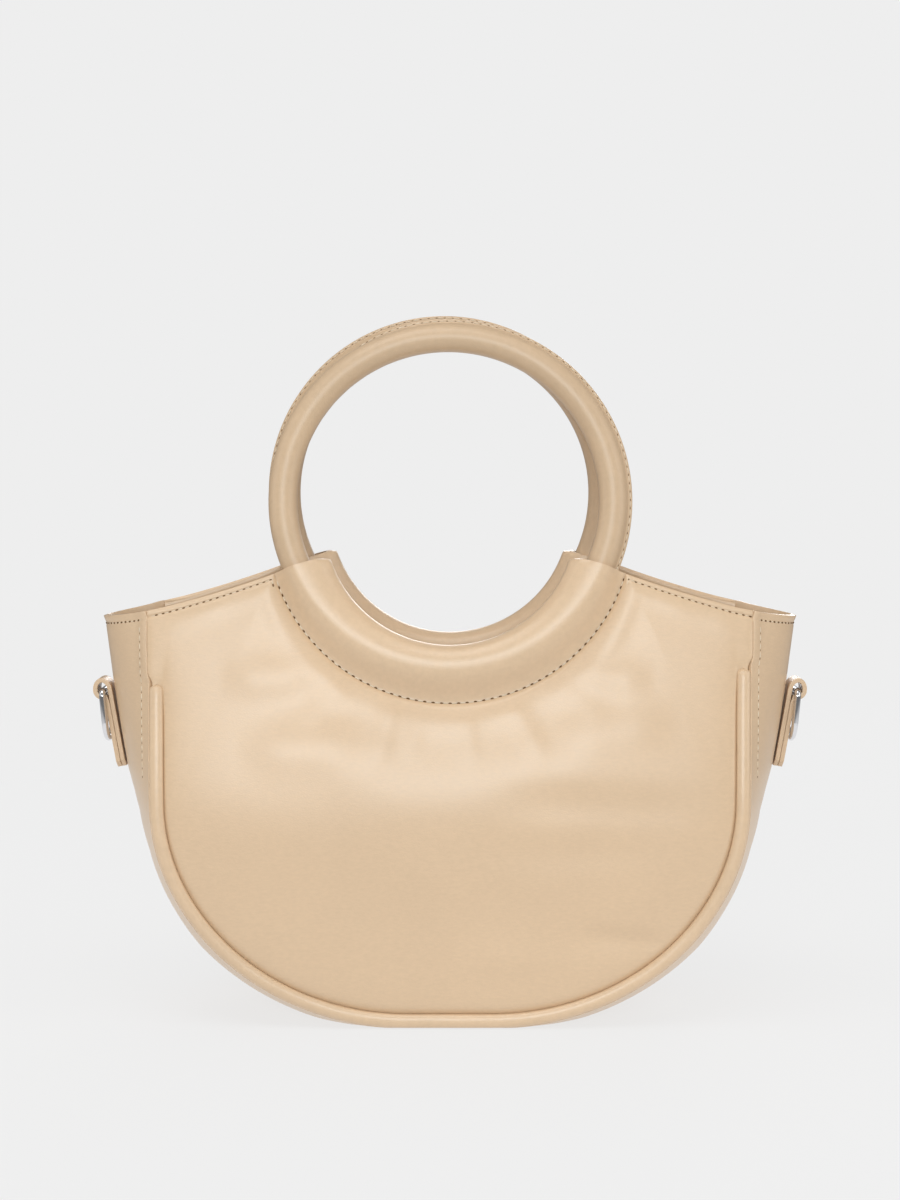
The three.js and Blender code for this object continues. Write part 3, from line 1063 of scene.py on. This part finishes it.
@dataclass
class RingHandle:
    """A leather-covered ring whose sewn edge twists to the back on its left side."""

    side: Side
    steps: int = 220
    flange_half: float = 0.95
    edge_tip: Tuple[Flat, ...] = ((0, 0.45), (-0.18, 0.85), (-0.6, 1))
    edge_root: Tuple[Flat, ...] = ((0.35, 0.96), (-0.02, 1.25))
    low_twist: float = 4
    high_twist: float = 88
    back_twist: float = 8

    def section(self) -> List[Flat]:
        """The ring's section from the middle of its sewn edge round to it again."""
        radius = FORM.tube_radius
        tip = radius + FORM.flange_height
        side = [(tip + out, self.flange_half * share) for out, share in self.edge_tip]
        side += [(radius + out, self.flange_half * share) for out, share in self.edge_root]
        turns = [math.radians(degrees) for degrees in range(24, 180, 13)]
        side += [(radius * math.cos(a), radius * math.sin(a)) for a in turns]
        return [(tip + 0.02, 0.0)] + side + [(-radius, 0.0)] + [(x, -y) for x, y in reversed(side)]

    def twist(self, angle: float) -> float:
        """How far the sewn edge is turned to the back at an angle round the ring."""
        if self.side.outward > 0:
            return math.radians(self.back_twist)
        degrees = math.degrees(angle) % 360
        turn = smooth_share(degrees, 95, 165) * (1 - smooth_share(degrees, 225, 300))
        return math.radians(mix(self.low_twist, self.high_twist, turn))

    def frame(self) -> Matrix:
        """The matrix from the ring's own plane to the bag, in millimetres."""
        height = FORM.ring_height(self.side)
        outward = self.side.outward
        move = Matrix.Translation((self.side.ring_shift, outward * self.side.ring_depth, height))
        return move @ Matrix.Rotation(outward * self.side.lean, 4, "X")

    def at(self, angle: float, out: float, across: float) -> Vector:
        """A point beside the tube's middle: out is along its sewn edge, across beside it."""
        turn = self.twist(angle)
        radial = out * math.cos(turn) - across * math.sin(turn)
        axial = out * math.sin(turn) + across * math.cos(turn)
        reach = FORM.ring_radius + radial
        return Vector((reach * math.cos(angle), axial, reach * math.sin(angle)))

    def build(self, finishes: Finishes) -> bpy.types.Object:
        """Makes the covered ring and dresses it."""
        section = self.section()
        frame = self.frame()

        def place(step: int, side: int) -> Vector:
            angle = 2 * math.pi * step / self.steps
            return frame @ self.at(angle, *section[side])

        piece = lay_hoop(f"{self.side.name}_ring_leather", self.steps, len(section), place)
        dress(piece, 55, finishes.handle)
        hand_over(piece, "bag", "handle_leather", f"{self.side.name}_ring")
        return piece


@dataclass
class Collar:
    """The sleeve of leather that holds the lower part of a ring."""

    side: Side
    steps: int = 110
    half_points: int = 22
    corner: float = 2.6
    crown_at: float = 0.05
    turned_at: float = -0.86
    turned_width: float = 0.06
    turned_depth: float = 0.3
    crown_swell: float = 0.97
    sewn_swell: float = 0.075
    swell_power: float = 1.2
    sewn_half: float = 0.25
    sewn_land: float = 2.5
    least_hollow: float = 0.12
    hollow_edge: float = 0.05

    def swell(self, reach: float) -> float:
        """Half the sleeve's thickness, as a share of the leather's radius round the tube."""
        if reach < self.crown_at:
            off = (self.crown_at - reach) / (1 + self.crown_at)
            return self.crown_swell * math.sqrt(max(0.0, 1 - off**2))
        share = ((reach - self.crown_at) / (1 - self.crown_at)) ** self.swell_power
        return mix(self.sewn_swell, self.crown_swell, (1 + math.cos(math.pi * share)) / 2)

    def build(self, finishes: Finishes) -> bpy.types.Object:
        """Makes the sleeve, with the hollow that the ring runs through, and dresses it."""
        centre = Vector((-self.side.ring_shift, -FORM.collar_drop))
        start = math.radians(FORM.collar_end_angle)
        ring = RingHandle(self.side).frame()
        reaches = [math.cos(math.pi * i / self.half_points) for i in range(self.half_points + 1)]
        arc = FORM.collar_outer * (math.pi - 2 * start)

        def place(step: int, point: int) -> Vector:
            outer_skin = step <= self.steps
            along = step if outer_skin else 2 * self.steps + 1 - step
            angle = mix(start - math.pi, -start, along / self.steps)
            way = Vector((math.cos(angle), math.sin(angle)))
            lift = -way.dot(centre)
            tube = lift + math.sqrt(FORM.ring_radius**2 - centre.length_squared + lift * lift)
            half = point if point <= self.half_points else 2 * self.half_points + 1 - point
            reach = reaches[half]
            from_end = (0.5 - abs(0.5 - along / self.steps)) * arc
            near = max(0.0, 1 - from_end / self.corner)
            cut = self.corner * (1 - math.sqrt(max(0.0, 1 - near * near)))
            inner_edge = FORM.collar_inner + cut
            room = FORM.collar_outer - tube if reach > 0 else tube - inner_edge
            radius = tube + reach * room
            thick = self.swell(reach) * FORM.cover_radius
            turned = (reach - self.turned_at) / self.turned_width
            thick -= self.turned_depth * math.exp(-turned * turned)
            if not outer_skin:
                leather = FORM.collar_leather
                radius = max(inner_edge + leather, radius)
                radius = min(FORM.collar_outer - self.sewn_land, radius)
                room = FORM.collar_outer - tube if radius > tube else tube - inner_edge
                reach = (radius - tube) / room
                thick = max(self.least_hollow, self.swell(reach) * FORM.cover_radius - leather)
                if half in (0, self.half_points):
                    thick = self.hollow_edge
            elif half == self.half_points:
                thick = self.sewn_half
            sign = 1 if point <= self.half_points else -1
            spot = centre + way * radius
            return ring @ Vector((spot.x, sign * thick, spot.y))

        steps, sides = 2 * self.steps + 2, 2 * self.half_points + 2
        piece = lay_hoop(f"{self.side.name}_collar_leather", steps, sides, place)
        dress(piece, 50, finishes.collar)
        hand_over(piece, "bag", "collar_leather", f"{self.side.name}_collar")
        return piece


@dataclass
class StrapFitting:
    """A strap tab folded over the bar of a D-ring, on one end of the bag."""

    name: str
    turn: float
    tab_width: float = 10.4
    strap: float = 1.8
    foot_height: float = 94
    top_height: float = 127.2
    loop_slack: float = 0.65
    wire: float = 2.5
    ring_height: float = 21.2
    bend: float = 2
    lean: float = 5
    corner: float = 2.4
    loop_stretch: float = 1.4
    leg_steps: int = 12
    loop_steps: int = 22
    meet_play: float = 0.12
    paint_play: float = 0.12
    bend_steps: int = 8
    bow_steps: int = 32
    wire_sides: int = 20

    @property
    def loop_hollow(self) -> float:
        """The radius of the hollow in the strap's loop."""
        return self.wire / 2 + self.loop_slack

    @property
    def loop_radius(self) -> float:
        """The loop's outer radius."""
        return self.loop_hollow + self.strap

    @property
    def loop_height(self) -> float:
        """The height of the loop's middle."""
        return self.top_height - self.loop_radius

    def fold_x(self, height: float) -> float:
        """How far the gusset's fold stands out at a height."""
        gusset = Gusset()
        low, high = 0.5, 1.0
        while high - low > 1e-6:
            middle = (low + high) / 2
            if gusset.surface(middle, 0.5).z < height:
                low = middle
            else:
                high = middle
        return gusset.surface(low, 0.5).x

    def seat(self) -> Tuple[float, float, float, float]:
        """Where the strap is sewn on: x, z, lean and the way up to its loop's middle."""
        foot, top = self.fold_x(self.foot_height), self.fold_x(self.loop_height)
        lean = math.atan2(top - foot, self.loop_height - self.foot_height)
        rises = [
            self.fold_x(mix(self.foot_height, self.loop_height, share)) - mix(foot, top, share)
            for share in (0.25, 0.5, 0.75)
        ]
        clear = (max(0.0, *rises) + FORM.gap) / math.cos(lean)
        rise = self.loop_height - self.foot_height + self.loop_radius * math.sin(lean)
        return foot + clear, self.foot_height, lean, rise / math.cos(lean)

    def strap_line(self, along: float) -> List[Flat]:
        """The middle line of the folded strap: out from the bag, and up."""
        radius = self.loop_hollow + self.strap / 2
        inner, outer = self.strap / 2, 1.5 * self.strap
        meet = -math.acos((outer - self.loop_radius) / radius)
        legs, loop = self.leg_steps, self.loop_steps
        points = [(inner, along * i / legs) for i in range(legs)]
        for a in (mix(math.pi, meet + self.meet_play, i / loop) for i in range(loop + 1)):
            tall = self.loop_stretch if a > 0 else 1
            points.append(
                (self.loop_radius + radius * math.cos(a), along + radius * math.sin(a) * tall)
            )
        last = points[-1][1]
        return points + [(outer + 0.02, last * (1 - i / legs)) for i in range(1, legs + 1)]

    def build_tab(self, finishes: Finishes) -> bpy.types.Object:
        """Makes the strap: one layer folded over the wire, with rounded corners at its foot."""
        x0, z0, lean, along = self.seat()
        line = self.strap_line(along)
        turned = Matrix.Rotation(self.turn, 4, "Z")
        spin = turned @ Matrix.Translation((x0, 0, z0)) @ Matrix.Rotation(lean, 4, "Y")

        def place(u: float, v: float) -> Vector:
            index = v * (len(line) - 1)
            low = min(len(line) - 2, int(index + 1e-6))
            share = index - low
            out = mix(line[low][0], line[low + 1][0], share)
            up = mix(line[low][1], line[low + 1][1], share)
            half = self.tab_width / 2
            near = max(0.0, 1 - up / self.corner)
            narrow = self.corner * (1 - math.sqrt(max(0.0, 1 - near * near)))
            return spin @ Vector((out, (2 * u - 1) * (half - narrow), up))

        piece = lay_grid(f"{self.name}_tab_leather", 14, len(line) - 1, place)
        face_outwards(piece)
        thickness = (self.strap - self.paint_play) * MM
        apply_modifier(
            piece, "SOLIDIFY", thickness=thickness, offset=0.0, use_rim=True, material_offset_rim=1
        )
        apply_modifier(
            piece, "BEVEL", width=0.3 * MM, segments=3, limit_method="ANGLE", angle_limit=1.0
        )
        dress(piece, 40, finishes.tab, finishes.edge)
        hand_over(piece, "bag", "tab_leather", f"{self.name}_tab")
        return piece

    def ring_line(self) -> List[Flat]:
        """The D-ring's middle line: across and up from its bar."""
        half = (self.tab_width + 2 * FORM.gap + self.wire) / 2
        turn, drop = half - self.bend, self.ring_height - self.wire
        bends, bows = self.bend_steps, self.bow_steps

        def arc(x: float, z: float, size: float, angles: Sequence[float]) -> List[Flat]:
            return [(x + size * math.cos(a), z + size * math.sin(a)) for a in angles]

        points = [(mix(-turn, turn, i / bends), 0.0) for i in range(bends)]
        right = [mix(math.pi / 2, 0, i / bends) for i in range(bends + 1)]
        points += arc(turn, -self.bend, self.bend, right)
        points += arc(0, half - drop, half, [-math.pi * i / bows for i in range(bows + 1)])
        left = [mix(-math.pi, -1.5 * math.pi, i / bends) for i in range(bends)]
        return points + arc(-turn, -self.bend, self.bend, left)

    def build_ring(self, finishes: Finishes) -> bpy.types.Object:
        """Makes the D-ring of bent wire, hanging from its bar, and dresses it."""
        x0, _, seat_lean, along = self.seat()
        bar_x = x0 + self.loop_radius * math.cos(seat_lean) + along * math.sin(seat_lean)
        bar_z = self.loop_height - (self.loop_slack - FORM.gap)
        hang = (
            Matrix.Rotation(self.turn, 4, "Z")
            @ Matrix.Translation((bar_x, 0, bar_z))
            @ Matrix.Rotation(math.radians(self.lean), 4, "Y")
        )
        line = self.ring_line()
        sides = self.wire_sides

        def place(step: int, side: int) -> Vector:
            here = Vector(line[step])
            before, after = Vector(line[step - 1]), Vector(line[(step + 1) % len(line)])
            way = ((here - before).normalized() + (after - here).normalized()).normalized()
            angle = 2 * math.pi * side / sides
            wide, thick = math.cos(angle) * self.wire / 2, math.sin(angle) * self.wire / 2
            return hang @ Vector((thick, here.x - way.y * wide, here.y + way.x * wide))

        piece = lay_hoop(f"{self.name}_d_ring_wire", len(line), sides, place)
        dress(piece, 80, finishes.chrome)
        hand_over(piece, f"{self.name}_d_ring", "chrome", f"{self.name}_d_ring")
        return piece


@dataclass
class StitchRow:
    """A row of thread on a surface: places, each with the way along and the way out."""

    name: str
    places: Stitches
    length: float = 1.9
    thickness: float = 0.5
    sink: float = 0.05
    # the sizes of the dark beads of painted shade that stand in the needle holes
    hole_shade: float = 0.5
    hole_shade_length: float = 1.5
    flatness: float = 0.8
    hole_shade_flatness: float = 0.7
    overlap: float = 0.1

    def matrices(self, shift: float) -> List[Matrix]:
        """The places of the row's copies, moved along and sunk in, in metres."""
        found = []
        for spot, along, out in self.places:
            way = along.normalized()
            out = (out - way * out.dot(way)).normalized()
            beside = out.cross(way)
            turn = Matrix((way, beside, out)).transposed().to_4x4()
            found.append(Matrix.Translation((spot + way * shift - out * self.sink) * MM) @ turn)
        return found

    def lay(
        self, what: str, rings: int, shape: Matrix, shift: float, material: bpy.types.Material
    ) -> None:
        """Models one bead and copies it along the row as one piece.

        Args:
            what: the end of the piece's name.
            rings: how many bands of faces a bead has.
            shape: from a bead 1 m across to its own size and way.
            shift: how far along from the row's places it lies.
            material: its finish.
        """
        deselect_all()
        bpy.ops.mesh.primitive_uv_sphere_add(segments=6, ring_count=rings, radius=0.5)
        bead = bpy.context.object
        bead.data.transform(shape)
        row = join_copies(f"{self.name}_{what}", bead, self.matrices(shift))
        dress(row, 180, material)
        hand_over(row, "bag", "")

    def build(self, finishes: Finishes) -> None:
        """Lays the row's stitches, and between each two a dark bead of painted shade for the needle
        hole.
        """
        wide, flat = self.thickness * MM, self.thickness * MM * self.flatness
        size = Matrix.Diagonal((wide, flat, self.length * MM, 1))
        self.lay("thread", 5, Matrix.Rotation(math.pi / 2, 4, "Y") @ size, 0, finishes.thread)
        # dark beads of painted shade, where the needle holes are
        wide, flat = self.hole_shade * MM, self.hole_shade * self.hole_shade_flatness * MM
        size = Matrix.Diagonal((self.hole_shade_length * MM, wide, flat, 1))
        shift = (self.length + self.hole_shade_length) / 2 - self.overlap
        self.lay("needle_holes", 4, size, shift, finishes.hole_shade)


@dataclass
class Stitching:
    """All the rows of thread on the bag."""

    pitch: float = 3.2
    hem_pitch: float = 2.6
    rim_pitch: float = 2.5
    arc_lift: float = 0.72
    arc_play: float = 0.035
    edge_out: float = 3.4
    edge_span: Flat = (5, 62)
    hem_span: Flat = (0.1, 5.3)
    ring_span: Flat = (-24, 204)
    ring_out: float = 0.85
    samples: int = 400

    def along_surface(
        self, path: Callable[[float], Vector], out: Callable[[float], Vector], pitch: float
    ) -> Stitches:
        """Spaces stitches evenly along a path.

        Args:
            path: a point at each share of the way.
            out: the surface's outward direction there.
            pitch: from one stitch to the next.

        Returns:
            The middle of each stitch, the way along and the way out.
        """
        points = [path(i / self.samples) for i in range(self.samples + 1)]
        runs = [0.0]
        for a, b in zip(points, points[1:]):
            runs.append(runs[-1] + (b - a).length)
        count = max(1, round(runs[-1] / pitch))
        found = []
        j = 0
        for i in range(count):
            target = runs[-1] * (i + 0.5) / count
            while runs[j + 1] < target:
                j += 1
            share = (target - runs[j]) / (runs[j + 1] - runs[j])
            a, b = points[j], points[j + 1]
            found.append((a.lerp(b, share), b - a, out((j + share) / self.samples)))
        return found

    def on_surface(
        self, surface: Place, path: Callable[[float], Flat], outwards: Vector, pitch: float
    ) -> Stitches:
        """Spaces stitches along a path on a curved face.

        Args:
            surface: a point of the face at two shares.
            path: the two shares at each share of the way.
            outwards: roughly the way out of the face.
            pitch: from one stitch to the next.

        Returns:
            The middle of each stitch, the way along and the way out.
        """

        def out(t: float) -> Vector:
            step = 0.002
            u, v = (min(share, 1 - step) for share in path(t))
            here = surface(u, v)
            over, up = surface(u + step, v) - here, surface(u, v + step) - here
            normal = over.cross(up).normalized()
            return normal if normal.dot(outwards) > 0 else -normal

        return self.along_surface(lambda t: surface(*path(t)), out, pitch)

    def hem_row(self, side: Side, left: bool) -> Stitches:
        """The row below the hem on one side of a panel's collar."""
        panel = WallPanel(side)
        low, high = self.hem_span

        def path(t: float) -> Flat:
            cell = mix(low, high, t) if left else mix(CELLS - high, CELLS - low, t)
            foot, top = panel.foot(cell), FORM.panel_top(side, cell)
            return cell / CELLS, 1 - panel.hem_line / math.hypot(top[0] - foot[0], top[1] - foot[1])

        return self.on_surface(panel.surface, path, Vector((0, side.outward, 0)), self.hem_pitch)

    def arc_row(self, side: Side) -> Stitches:
        """The row along a collar's sewn edge."""
        start = math.radians(FORM.collar_end_angle) + self.arc_play
        out = Vector((0, side.outward * math.cos(side.lean), math.sin(side.lean) + 0.1))

        def arc(t: float) -> Vector:
            x, z = FORM.collar_point(side, mix(start - math.pi, -start, t), FORM.collar_outer)
            return Vector((x, side.outward * (FORM.wall_depth(side, z) + self.arc_lift), z))

        return self.along_surface(arc, lambda t: out, self.pitch)

    def rim_row(self, right: bool) -> Stitches:
        """The row below the gusset's upper edge, on one end of the bag."""
        gusset = Gusset()
        share = gusset.hem_line / gusset.line().length
        u, outwards = (1 - share, Vector((1, 0, 0))) if right else (share, Vector((-1, 0, 0)))
        return self.on_surface(
            gusset.surface, lambda t: (u, mix(0.03, 0.97, t)), outwards, self.rim_pitch
        )

    def edge_row(self, right: bool, side: Side) -> Stitches:
        """The upright row beside a seam, above and beside the piping's end."""
        gusset = Gusset()
        line = gusset.line()

        def path(t: float) -> Flat:
            distance = mix(*self.edge_span, t)
            _, z, _, _ = line.at(distance)
            share = 1 - self.edge_out / max(8.0, FORM.gusset_reach_at(z))
            across = share ** (1 / FORM.fold_sharpness)
            u = distance / line.length
            return (1 - u if right else u), 0.5 + side.outward * across / 2

        return self.on_surface(gusset.surface, path, Vector((1 if right else -1, 0, 0)), self.pitch)

    def ring_row(self, side: Side, face: int) -> Stitches:
        """The row on one face of a ring's sewn edge, where it stands clear of the collar."""
        ring = RingHandle(side)
        frame = ring.frame()
        turn = frame.to_3x3()

        def angle_at(t: float) -> float:
            low, high = self.ring_span
            return mix(math.radians(low), math.radians(high), t)

        def path(t: float) -> Vector:
            out = FORM.tube_radius + self.ring_out
            return frame @ ring.at(angle_at(t), out, face * ring.flange_half)

        def out(t: float) -> Vector:
            a = angle_at(t)
            low, high = ring.at(a, FORM.tube_radius, 0), ring.at(a, FORM.tube_radius, face)
            return turn @ (high - low)

        return self.along_surface(path, out, self.pitch)

    def build(self, finishes: Finishes) -> None:
        """Makes every row, each with its length, thickness, depth and the painted shade of its
        needle holes.
        """
        rows = []
        for side in (FRONT, BACK):
            name = side.name
            arcs = self.arc_row(side)
            hems = self.hem_row(side, True) + self.hem_row(side, False)
            edges = self.edge_row(False, side) + self.edge_row(True, side)
            rings = self.ring_row(side, -1) + self.ring_row(side, 1)
            # the hole sizes are those of the dark beads of painted shade
            rows += [
                StitchRow(f"{name}_collar_edge", arcs, 2.1, 0.6, 0, hole_shade=0.75, hole_shade_length=1.4),
                StitchRow(f"{name}_hem", hems, 1.4, hole_shade=0.8, hole_shade_length=1.35),
                StitchRow(f"{name}_seam_edges", edges, 2.2, hole_shade=0.4, hole_shade_length=0.9),
                StitchRow(f"{name}_ring_edge", rings, 2.0, 0.45, hole_shade=0.35, hole_shade_length=1.1),
            ]
        rims = self.rim_row(False) + self.rim_row(True)
        rows.append(StitchRow("gusset_rim", rims, 1.3, 0.4, 0, hole_shade=0.85, hole_shade_length=1.3))
        for row in rows:
            row.build(finishes)


# Light, floor and camera


@dataclass(frozen=True)
class SoftBox:
    """A soft light that faces the bag: its place and size in metres, watts and colour."""

    name: str
    place: Tuple[float, float, float]
    size: Flat
    power: float
    colour: Colour = (1, 1, 1)

    def add(self, target: Vector) -> None:
        """Hangs the light, turned to a target."""
        deselect_all()
        bpy.ops.object.light_add(type="AREA", location=self.place)
        light = bpy.context.object
        light.name = self.name
        light.data.shape = "RECTANGLE"
        light.data.size, light.data.size_y = self.size
        light.data.energy = self.power
        light.data.color = self.colour
        aim = target - Vector(self.place)
        light.rotation_euler = aim.to_track_quat("-Z", "Y").to_euler()


@dataclass
class Studio:
    """A pale floor that fades into an even backdrop, soft lights and the camera."""

    backdrop: float = 0.855
    floor_radius: float = 1.6
    floor_drop: float = 0.0002
    floor_shade: float = 0.16
    floor_fade: Flat = (0.32, 1.1)
    floor_tones: Flat = (0.838, 0.85)
    room_low: float = 0.5
    room_high: float = 0.66
    mirror_share: float = 0.35
    camera_place: Tuple[float, float, float] = (0.0, -0.8372, 0.2245)
    camera_pitch: float = 4.53
    lens: float = 64.96
    target: Tuple[float, float, float] = (0, 0, 0.12)
    lights: Tuple[SoftBox, ...] = (
        SoftBox("top_box", (-0.15, -0.45, 1.3), (0.9, 0.6), 4.5),
        SoftBox("front_box", (-0.1, -1.6, 0.62), (0.7, 0.42), 9.0, (0.88, 0.96, 1.0)),
        SoftBox("right_box", (1.2, -0.5, 0.6), (0.7, 1.0), 3.4),
        SoftBox("back_box", (0.3, 1.5, 0.7), (0.9, 0.6), 7.0),
        SoftBox("left_box", (-1.2, -0.3, 0.6), (0.7, 1.0), 1.8),
    )

    @property
    def pale(self) -> Tuple[float, float, float, float]:
        """The backdrop's colour."""
        return self.backdrop, self.backdrop, self.backdrop, 1

    def add_floor(self) -> None:
        """Adds the floor, whose outer part fades away."""
        deselect_all()
        place = (0, 0, -self.floor_drop)
        bpy.ops.mesh.primitive_circle_add(
            vertices=96, radius=self.floor_radius, fill_type="NGON", location=place
        )
        floor = rename(bpy.context.object, "studio_floor")
        sheet = Sheet.of_material("studio_floor")
        where = sheet.where()
        far = sheet.add("VectorMath", {"operation": "LENGTH"}, _0=where).outputs["Value"]
        low, high = self.floor_fade
        fade = sheet.add(
            "MapRange", {"interpolation_type": "SMOOTHSTEP"}, Value=far, From_Min=low, From_Max=high
        )
        speck = sheet.add("TexNoise", Vector=where, Scale=900.0, Detail=2.0)
        low, high = self.floor_tones
        tone = sheet.add("MapRange", Value=speck.outputs["Fac"], To_Min=low, To_Max=high)
        shaded = sheet.add("BsdfDiffuse", Color=tone.outputs[0])
        even = sheet.add("Emission", Color=self.pale)
        white = sheet.add(
            "MixShader", _0=self.floor_shade, _1=even.outputs[0], _2=shaded.outputs[0]
        )
        clear = sheet.add("BsdfTransparent")
        blend = sheet.add("MixShader", _0=fade.outputs[0], _1=white.outputs[0], _2=clear.outputs[0])
        floor.data.materials.append(sheet.finish(blend))

    def add_sky(self) -> None:
        """Gives an even backdrop to the camera and a soft room to the light."""
        world = bpy.data.worlds.new("studio")
        bpy.context.scene.world = world
        sheet = Sheet(world, "OutputWorld")
        split = sheet.add("SeparateXYZ", _0=sheet.add("TexCoord").outputs["Generated"])
        path = sheet.add("LightPath")
        lift = sheet.add(
            "MapRange", Value=split.outputs["Z"], To_Min=self.room_low, To_Max=self.room_high
        )
        dim = sheet.add(
            "MapRange", Value=path.outputs["Is Glossy Ray"], To_Min=1.0, To_Max=self.mirror_share
        )
        level = sheet.add(
            "Math", {"operation": "MULTIPLY"}, _0=lift.outputs[0], _1=dim.outputs[0]
        )
        room = sheet.add("Background", Color=(1, 1, 1, 1), Strength=level.outputs[0])
        seen = sheet.add("Background", Color=self.pale)
        camera_ray = path.outputs["Is Camera Ray"]
        sheet.finish(
            sheet.add("MixShader", _0=camera_ray, _1=room.outputs[0], _2=seen.outputs[0])
        )

    def add_camera(self) -> None:
        """Adds the camera at the photograph's place."""
        deselect_all()
        tilt = math.radians(90 - self.camera_pitch)
        bpy.ops.object.camera_add(location=self.camera_place, rotation=(tilt, 0, 0))
        camera = bpy.context.object
        camera.name = "photo_camera"
        camera.data.lens = self.lens
        camera.data.sensor_fit = "AUTO"
        camera.data.sensor_width = 36
        bpy.context.scene.camera = camera

    def build(self) -> None:
        """Sets up the whole studio."""
        bpy.context.scene.view_settings.view_transform = "Standard"
        self.add_camera()
        self.add_sky()
        self.add_floor()
        for light in self.lights:
            light.add(Vector(self.target))


def main() -> None:
    """Builds the bag round the frame."""
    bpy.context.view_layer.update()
    LOG.info("frame with %d nodes", len(frame["nodes"]))
    Studio().build()
    finishes = Finishes()
    Gusset().build(finishes)
    for side in (FRONT, BACK):
        WallPanel(side).build(finishes)
        Piping(side).build(finishes)
        RingHandle(side).build(finishes)
        Collar(side).build(finishes)
    for fitting in (StrapFitting("right", 0.0), StrapFitting("left", math.pi)):
        fitting.build_tab(finishes)
        fitting.build_ring(finishes)
    Stitching().build(finishes)


if __name__ == "__main__":
    main()
